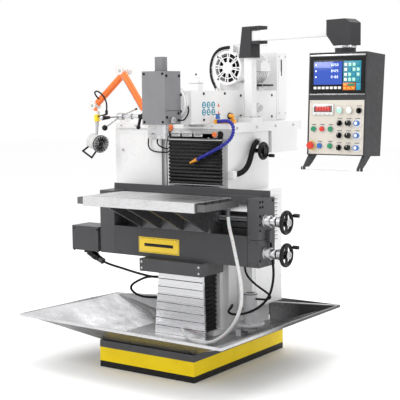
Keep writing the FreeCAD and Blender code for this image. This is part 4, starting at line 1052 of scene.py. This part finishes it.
handle = Piece("lever_grips")
spoke(handle, 92, [(9.6, 104), (10, 106), (13.8, 160), (14, 172), (11, 183), (0, 187)], "black")
BALL = [(17.6 * sin(turn), 161 - 17.6 * cos(turn)) for turn in [pi * (i + 1) / 14 for i in range(13)]]
spoke(handle, 114, [(5, 143)] + BALL + [(0, 178.6)], "black")
spoke(handle, -75, [(5.4, 150), (6.4, 152), (6.4, 169), (5, 171.5)], "black")
handle.lathe([(21.4, 0), (22, 1.5), (22, 30), (20, 40), (12, 46), (0, 47)], (LEVER[0] + 24, LEVER[1],
    LEVER[2]), (-1, 0, 0), "alu", 44)
handle.lathe(disc(18.4, 10, 1), (LEVER[0] + 87, LEVER[1], LEVER[2]), ACROSS, "cross", 44)
handle.done("lever")

# ---- lamp

def joint_discs(name, centre, radius, wide):
    """A joint's white cover, with a dark screw cap in its front."""
    piece = Piece(name)
    x, y, z = centre
    piece.lathe(disc(radius + 0.6, wide, 3.6, 2), (x, y - wide / 2, z), (0, 1, 0), "ivory", 44)
    piece.lathe([(radius * 0.42, 0), (radius * 0.42, 3), (radius * 0.3, 5), (0, 5.4)], (x, y - wide / 2, z),
        AHEAD, "label", 32)
    return piece


lower = joint_discs("lamp_elbow_disc", (-490, -78.3, 1806), 28.4, 48)
lower.lathe(disc(18.6, 14, 1), (-300, -65, 1520.6), UP, "ivory", 40)
lower.lathe(disc(20, 54, 0.6), (-300, -104.5, 1540), (0, 1, 0), "ivory", 40)
lower.rod((-330, -102.4, 1564), (-470, -102.4, 1760), 2.2, "alu", 12)
lower.done("lamp_lower")
upper = joint_discs("lamp_wrist_disc", (-756, -35.5, 1586), 27.4, 62)
upper.lathe([(28.4, 0), (29, 1), (29, 48), (27, 49.6)], (-490, -53.6, 1806), (0, 1, 0), "ivory", 44)
upper.lathe(disc(18.8, 24, 1.3), (-726, -53, 1526), UP, "ivory", 40)
upper.lathe(disc(19.4, 44, 1.9), (-726, -53, 1482.2), UP, "yellow", 40)
lead = smooth_line([(-0.708, -0.054, 1.628), (-0.722, -0.080, 1.660), (-0.704, -0.090, 1.679), (-0.672,
    -0.092, 1.675), (-0.637, -0.094, 1.651), (-0.612, -0.094, 1.616), (-0.607, -0.092, 1.577), (-0.613,
    -0.090, 1.552)], "lamp_lead", 16)
upper.tube([p / MM for p in lead], 5.2, "rubber")
upper.lathe([(8, 0), (9, 2), (9, 26), (6, 30)], (-613, -90, 1556), (0, 0, -1), "black", 20)
upper.lathe([(6, 0), (6, 26), (4, 30)], (-616, -88, 1530), (-0.96, 0.2, -0.2), "black", 20)
upper.rod((-640, -82, 1525), (-718, -57, 1512), 5, "black")
upper.done("lamp_upper")

AXIS = Vector((0.95, -0.24, -0.2)).normalized()
MIDDLE = Vector((-688, -70, 1337))
face = Piece("lamp_face")
face.lathe([(50, 0), (58.8, 3), (59, 12), (57, 15), (48, 16.6), (46, 10), (0, 10)], MIDDLE - 3.5 * AXIS,
    AXIS, "black", 56)
for i in range(16):
    turn = Matrix.Translation(MIDDLE + 6.8 * AXIS) @ aim(AXIS) @ spun((0, 0, 0), i / 16, "Z")
    face.box((19, 55), (-1.5, 1.5), (0, 9.5), "bakelite", 0.6, turn)
face.lathe([(16, 0), (16, 5), (12, 7.5), (0, 8)], MIDDLE + 6 * AXIS, AXIS, "bakelite", 32)
face.lathe([(7, 0), (7, 1), (6, 1.6)], MIDDLE + 13.6 * AXIS, AXIS, "dark", 24)
for i in range(8):
    turn = Matrix.Translation(MIDDLE + 7 * AXIS) @ aim(AXIS) @ spun((0, 0, 0), (i + 0.5) / 8, "Z")
    face.lathe([(5, 0), (5, 2.4), (3, 4)], (34, 0, 0), UP, "dark", 18, turn)
for i in range(7):
    face.lathe(disc(51, 7.6, 4.6, 1.2), MIDDLE - (18 + 11.5 * i) * AXIS, -AXIS, "ivory", 48)
GRIP = ((-775, -62, 1330), (-806, -108, 1290), (-745, -92, 1247), (-712, -70, 1302))
for start, end in zip(GRIP, GRIP[1:]):
    face.rod(start, end, 6.2, "black", 20)
for point in GRIP[1:3]:
    profile = [(6.6 * sin(pi * i / 10), -6.6 * cos(pi * i / 10)) for i in range(11)]
    face.lathe(profile, point, UP, "black", 20)
face.done("lamp")

# ---- pendant

LEFT = edges("readout_unit")[0].x - 12.3
TOP = 1881
FRONT = 90
LEAN = about((0, FRONT, TOP), -3, "X")

screen = Piece("readout_face", LEAN)
y = FRONT - 3
screen.panel((27, 339), (y - 1.5, y + 1), (1663, 1839), "black", 1)
screen.panel((34, 216), (y - 2.6, y), (1698, 1829), "screen", 0.6)
for x, proud, z, colour in (((222, 333), 2.4, (1710, 1831), "teal"), ((222, 300), 2.5, (1666, 1708),
        "orange"), ((304, 333), 2.5, (1666, 1708), "teal")):
    screen.panel(x, (y - proud, y), z, colour, 0.6)
SEGMENTS = {"0": "abcdef", "1": "bc", "2": "abged", "4": "fgbc", "5": "afgcd", "6": "afgedc", "8": "abcdefg"}
BARS = {"a": (0, 4, 1), "g": UP, "d": (0, -4, 1), "f": (-2, 2, 0), "b": (2, 2, 0), "e": (-2, -2, 0), "c": (2,
    -2, 0)}
for row, number in enumerate(("0250", "0425", "0160")):
    z = 1810 - 34 * row
    screen.panel((44, 52), (y - 3.2, y - 2), (z - 5, z + 5), "digits", 0.4)
    for place, digit in enumerate(number):
        x = LEFT + 150 + 12 * place
        for bar in SEGMENTS[digit]:
            dx, dz, flat = BARS[bar]
            wide, tall = ((3, 0.9), (1, 2.9))[1 - flat]
            screen.box((x + dx * 1.5 - wide, x + dx * 1.5 + wide), (y - 3.2, y - 2), (z + dz * 1.5 - tall,
                z + dz * 1.5 + tall), "digits", 0)
for i in range(7):
    screen.panel((36 + 26 * i, 56 + 26 * i), (y - 5, y), (1672, 1688), "ivory", 1)
for i in range(4):
    for j in range(4):
        colour = "ivory" if i < 1 else "mint" if (i + j) % 3 else "teal"
        screen.panel((228 + 26 * i, 248 + 26 * i), (y - 4.6, y), (1716 + 28 * j, 1736 + 28 * j), colour, 1.2)
for i in range(3):
    for j in range(2):
        screen.panel((226 + 25 * i, 246 + 25 * i), (y - 4.6, y), (1670 + 19 * j, 1684 + 19 * j), "amber", 1)
screen.panel((252, 296), (y - 5.2, y), (1690, 1704), "green", 1)
screen.done("pendant")

trim = Piece("pendant_trim", LEAN)
trim.panel((8, 358), (FRONT - 6, FRONT + 0.5), (1859.5, 1869), "steel", 2)
trim.panel((8, 358), (FRONT - 4, FRONT + 0.5), (1640, 1646), "dark", 1.5)
trim.rod((LEFT - 10, FRONT - 42, 1220), (LEFT + 376, FRONT - 42, 1220), 8.2, "ivory", 28, 1.5)
for x in (LEFT - 9.5, LEFT + 375.5):
    trim.lathe([(8.6, 0), (9.4, 2), (9.4, 8), (8.6, 9)], (x if x < LEFT else x - 9, FRONT - 42, 1220),
        ACROSS, "black", 28)
trim.panel((37, 167), (FRONT - 10.5, FRONT + 0.5), (1525, 1588), "ivory", 2.5)
trim.panel((44, 160), (FRONT - 11.4, FRONT - 8), (1541, 1581), "black", 1.5)
trim.panel((52, 152), (FRONT - 12.2, FRONT - 8), (1546, 1576), "ruby", 1)
for i in range(5):
    trim.panel((60 + 18 * i, 70 + 18 * i), (FRONT - 12.6, FRONT - 11), (1552, 1570), "red", 0.4)
for i in range(4):
    trim.panel((52 + 27 * i, 68 + 27 * i), (FRONT - 12, FRONT - 9), (1528.5, 1536), "label", 0.8)
WIDTH = 366
for share, key in ((0.565, "mint"), (0.73, "lens")):
    at = (LEFT + share * WIDTH, FRONT - 10, 1552)
    trim.lathe([(15, 0), (18.5, 0.5), (18.5, 4), (15.4, 5)], (at[0], FRONT - 9, 1552), AHEAD, "steel", 32)
    trim.lathe([(15.6, 0), (15.6, 5), (12, 9), (6, 11), (0, 11.4)], at, AHEAD, key, 32)
ROWS = {"buttons": ((0.115, 1446), (0.263, 1446), (0.41, 1446), (0.409, 1350), (0.229, 1350)),
    "knobs": tuple((share, z) for share in (0.565, 0.72, 0.868) for z in (1480, 1411, 1342))}
for share, z in ROWS["buttons"]:
    x = LEFT + share * WIDTH
    trim.tube([(x + 16 * a, FRONT - 4, z + 16 * b) for a, b in flat_ring(32)], 2.2, "steel", 8, closed=True)
    trim.box((x - 13, x + 13), (FRONT - 1, FRONT + 0.4), (z + 24, z + 28), "dark", 0.2)
for share, z in ROWS["knobs"] + ((0.893, 1551),):
    x = LEFT + share * WIDTH
    if share == 0.868:
        trim.lathe([(24, 0), (24, 2), (22.5, 5), (16.4, 5.4)], (x, FRONT + 0.4, z), AHEAD, "ivory", 40)
        for i in range(11):
            turn = Matrix.Translation((x, 0, z)) @ Matrix.Rotation(radians(-135 + 27 * i), 4, "Y")
            trim.box((-0.5, 0.5), (FRONT - 5.4, FRONT - 4.2), (17.6, 21.4), "black", 0, turn)
    else:
        trim.tube([(x + 17 * a, FRONT - 3, z + 17 * b) for a, b in flat_ring(32)], 1.6, "steel", 8,
            closed=True)
    trim.box((x - 15, x + 15), (FRONT - 1, FRONT + 0.4), (z + 25.5, z + 29), "dark", 0.2)
trim.turned([(4.5, 0), (4.5, 1.6), (2.6, 2.6), (0, 2.8)], (LEFT + 18, LEFT + 348), [FRONT + 0.3], (1311,
    1603), AHEAD, "steel", 18)
trim.tube([(LEFT + 0.085 * WIDTH + 25 * a, FRONT - 2, 1351 + 25 * b) for a, b in flat_ring(36)], 2, "yellow",
    8, closed=True)
trim.done("pendant")

for word, z in (("first", 1480), ("second", 1411), ("third", 1342)):
    for node, share, depth in (("selector", 0.565, 26.6), ("dial", 0.72, 25.4), ("blue_knob", 0.868, 25.4)):
        x = LEFT + share * WIDTH
        dot = Piece(node + "_" + word + "_mark", LEAN)
        dot.box((x - 1.2, x + 1.2), (FRONT - depth, FRONT - depth + 1.4), (z + 3, z + 12.6), "ivory", 0.2)
        if node == "blue_knob":
            dot.lathe([(9.6, 0), (9.6, 1), (8.6, 1.6)], (x, FRONT - 23.6, z), AHEAD, "ivory", 28)
        dot.done(node + "_" + word + "_body")

POST_X, POST_Y, ARM_END = 178, 390, 178 + 803
sleeve = Piece("arm_sleeve", about((POST_X, POST_Y, 0), -15, "Z"))
sleeve.box((POST_X + 46.5, POST_X + 121), (POST_Y - 31, POST_Y + 31), (1980.6, 2043.4), "sheet", 1)
sleeve.box((POST_X + 121, POST_X + 700), (POST_Y - 31, POST_Y + 31), (1979.2, 2044.8), "sheet", 4)
sleeve.lathe([(62.6, 0), (63.4, 1), (63.4, 12), (62, 13.4)], (ARM_END, POST_Y, 1906.6), UP, "sheet", 56)
sleeve.lathe(disc(12, 16, 3, 2), (ARM_END + 92, POST_Y - 66, 1904.4), UP, "steel", 32)
sleeve.rod((ARM_END + 44, POST_Y - 66, 1912.5), (ARM_END + 90, POST_Y - 66, 1912.5), 5, "steel")
for s in (70, 92):
    for y in (POST_Y - 36.3, POST_Y + 33.3):
        sleeve.lathe([(6, 0), (6, 3)], (POST_X + s, y, 2058), (0, 1, 0), "black", 18)
sleeve.done("arm")

foot = Piece("post_foot")
foot.turned([(11, 0), (11, 2), (9, 2.4), (9, 9), (7.4, 10.4), (4.6, 10.4), (4.6, 6)], (136, 216), (344, 436),
    [1501.6], UP, "steel", 24)
foot.box((149.4, 206.6), (361.4, 418.6), (1502, 1508), "sheet", 2)
foot.done("frame")

# ---- coolant valve and pump

valve = Piece("coolant_tap")
valve.lathe([(13, 0), (14, 2), (14, 14), (11, 17), (11, 30), (0, 31)], (158, 46, 1500), UP, "blue", 28)
valve.box((140, 176), (43, 49), (1524, 1531), "blue", 2)
valve.done("frame")

low, high = edges("coolant_pump")
pump = Piece("pump_trim")
PUMP_X, PUMP_Y = 362, 85
pump.lathe([(40, 0), (44, 2), (44, 6), (30, 10), (0, 11)], (PUMP_X, PUMP_Y, high.z - 10), UP, "black", 48)
for x, y in flat_ring(6, 76):
    pump.lathe([(7, 0), (7, 5), (5, 6), (0, 6.4)], (PUMP_X + x, PUMP_Y + y, 248), UP, "steel", 20)
pump.done("frame")

# ---- stage

ground = bmesh.new()
HALF_FLOOR = 24.0
corners = [ground.verts.new((HALF_FLOOR * x, HALF_FLOOR * y, 0)) for x, y in ((-1, -1), (1, -1), (1, 1),
    (-1, 1))]
ground.faces.new(corners)
data = bpy.data.meshes.new("studio_floor")
ground.to_mesh(data)
ground.free()
floor = show(bpy.data.objects.new("studio_floor", data))
pale = Shader("studio_floor", rough=0.85)
pale.set("Base Color", pale.mix(pale.noise(1.2, 3), linear("fcfcfc"), linear("ffffff")))
data.materials.append(pale.material)
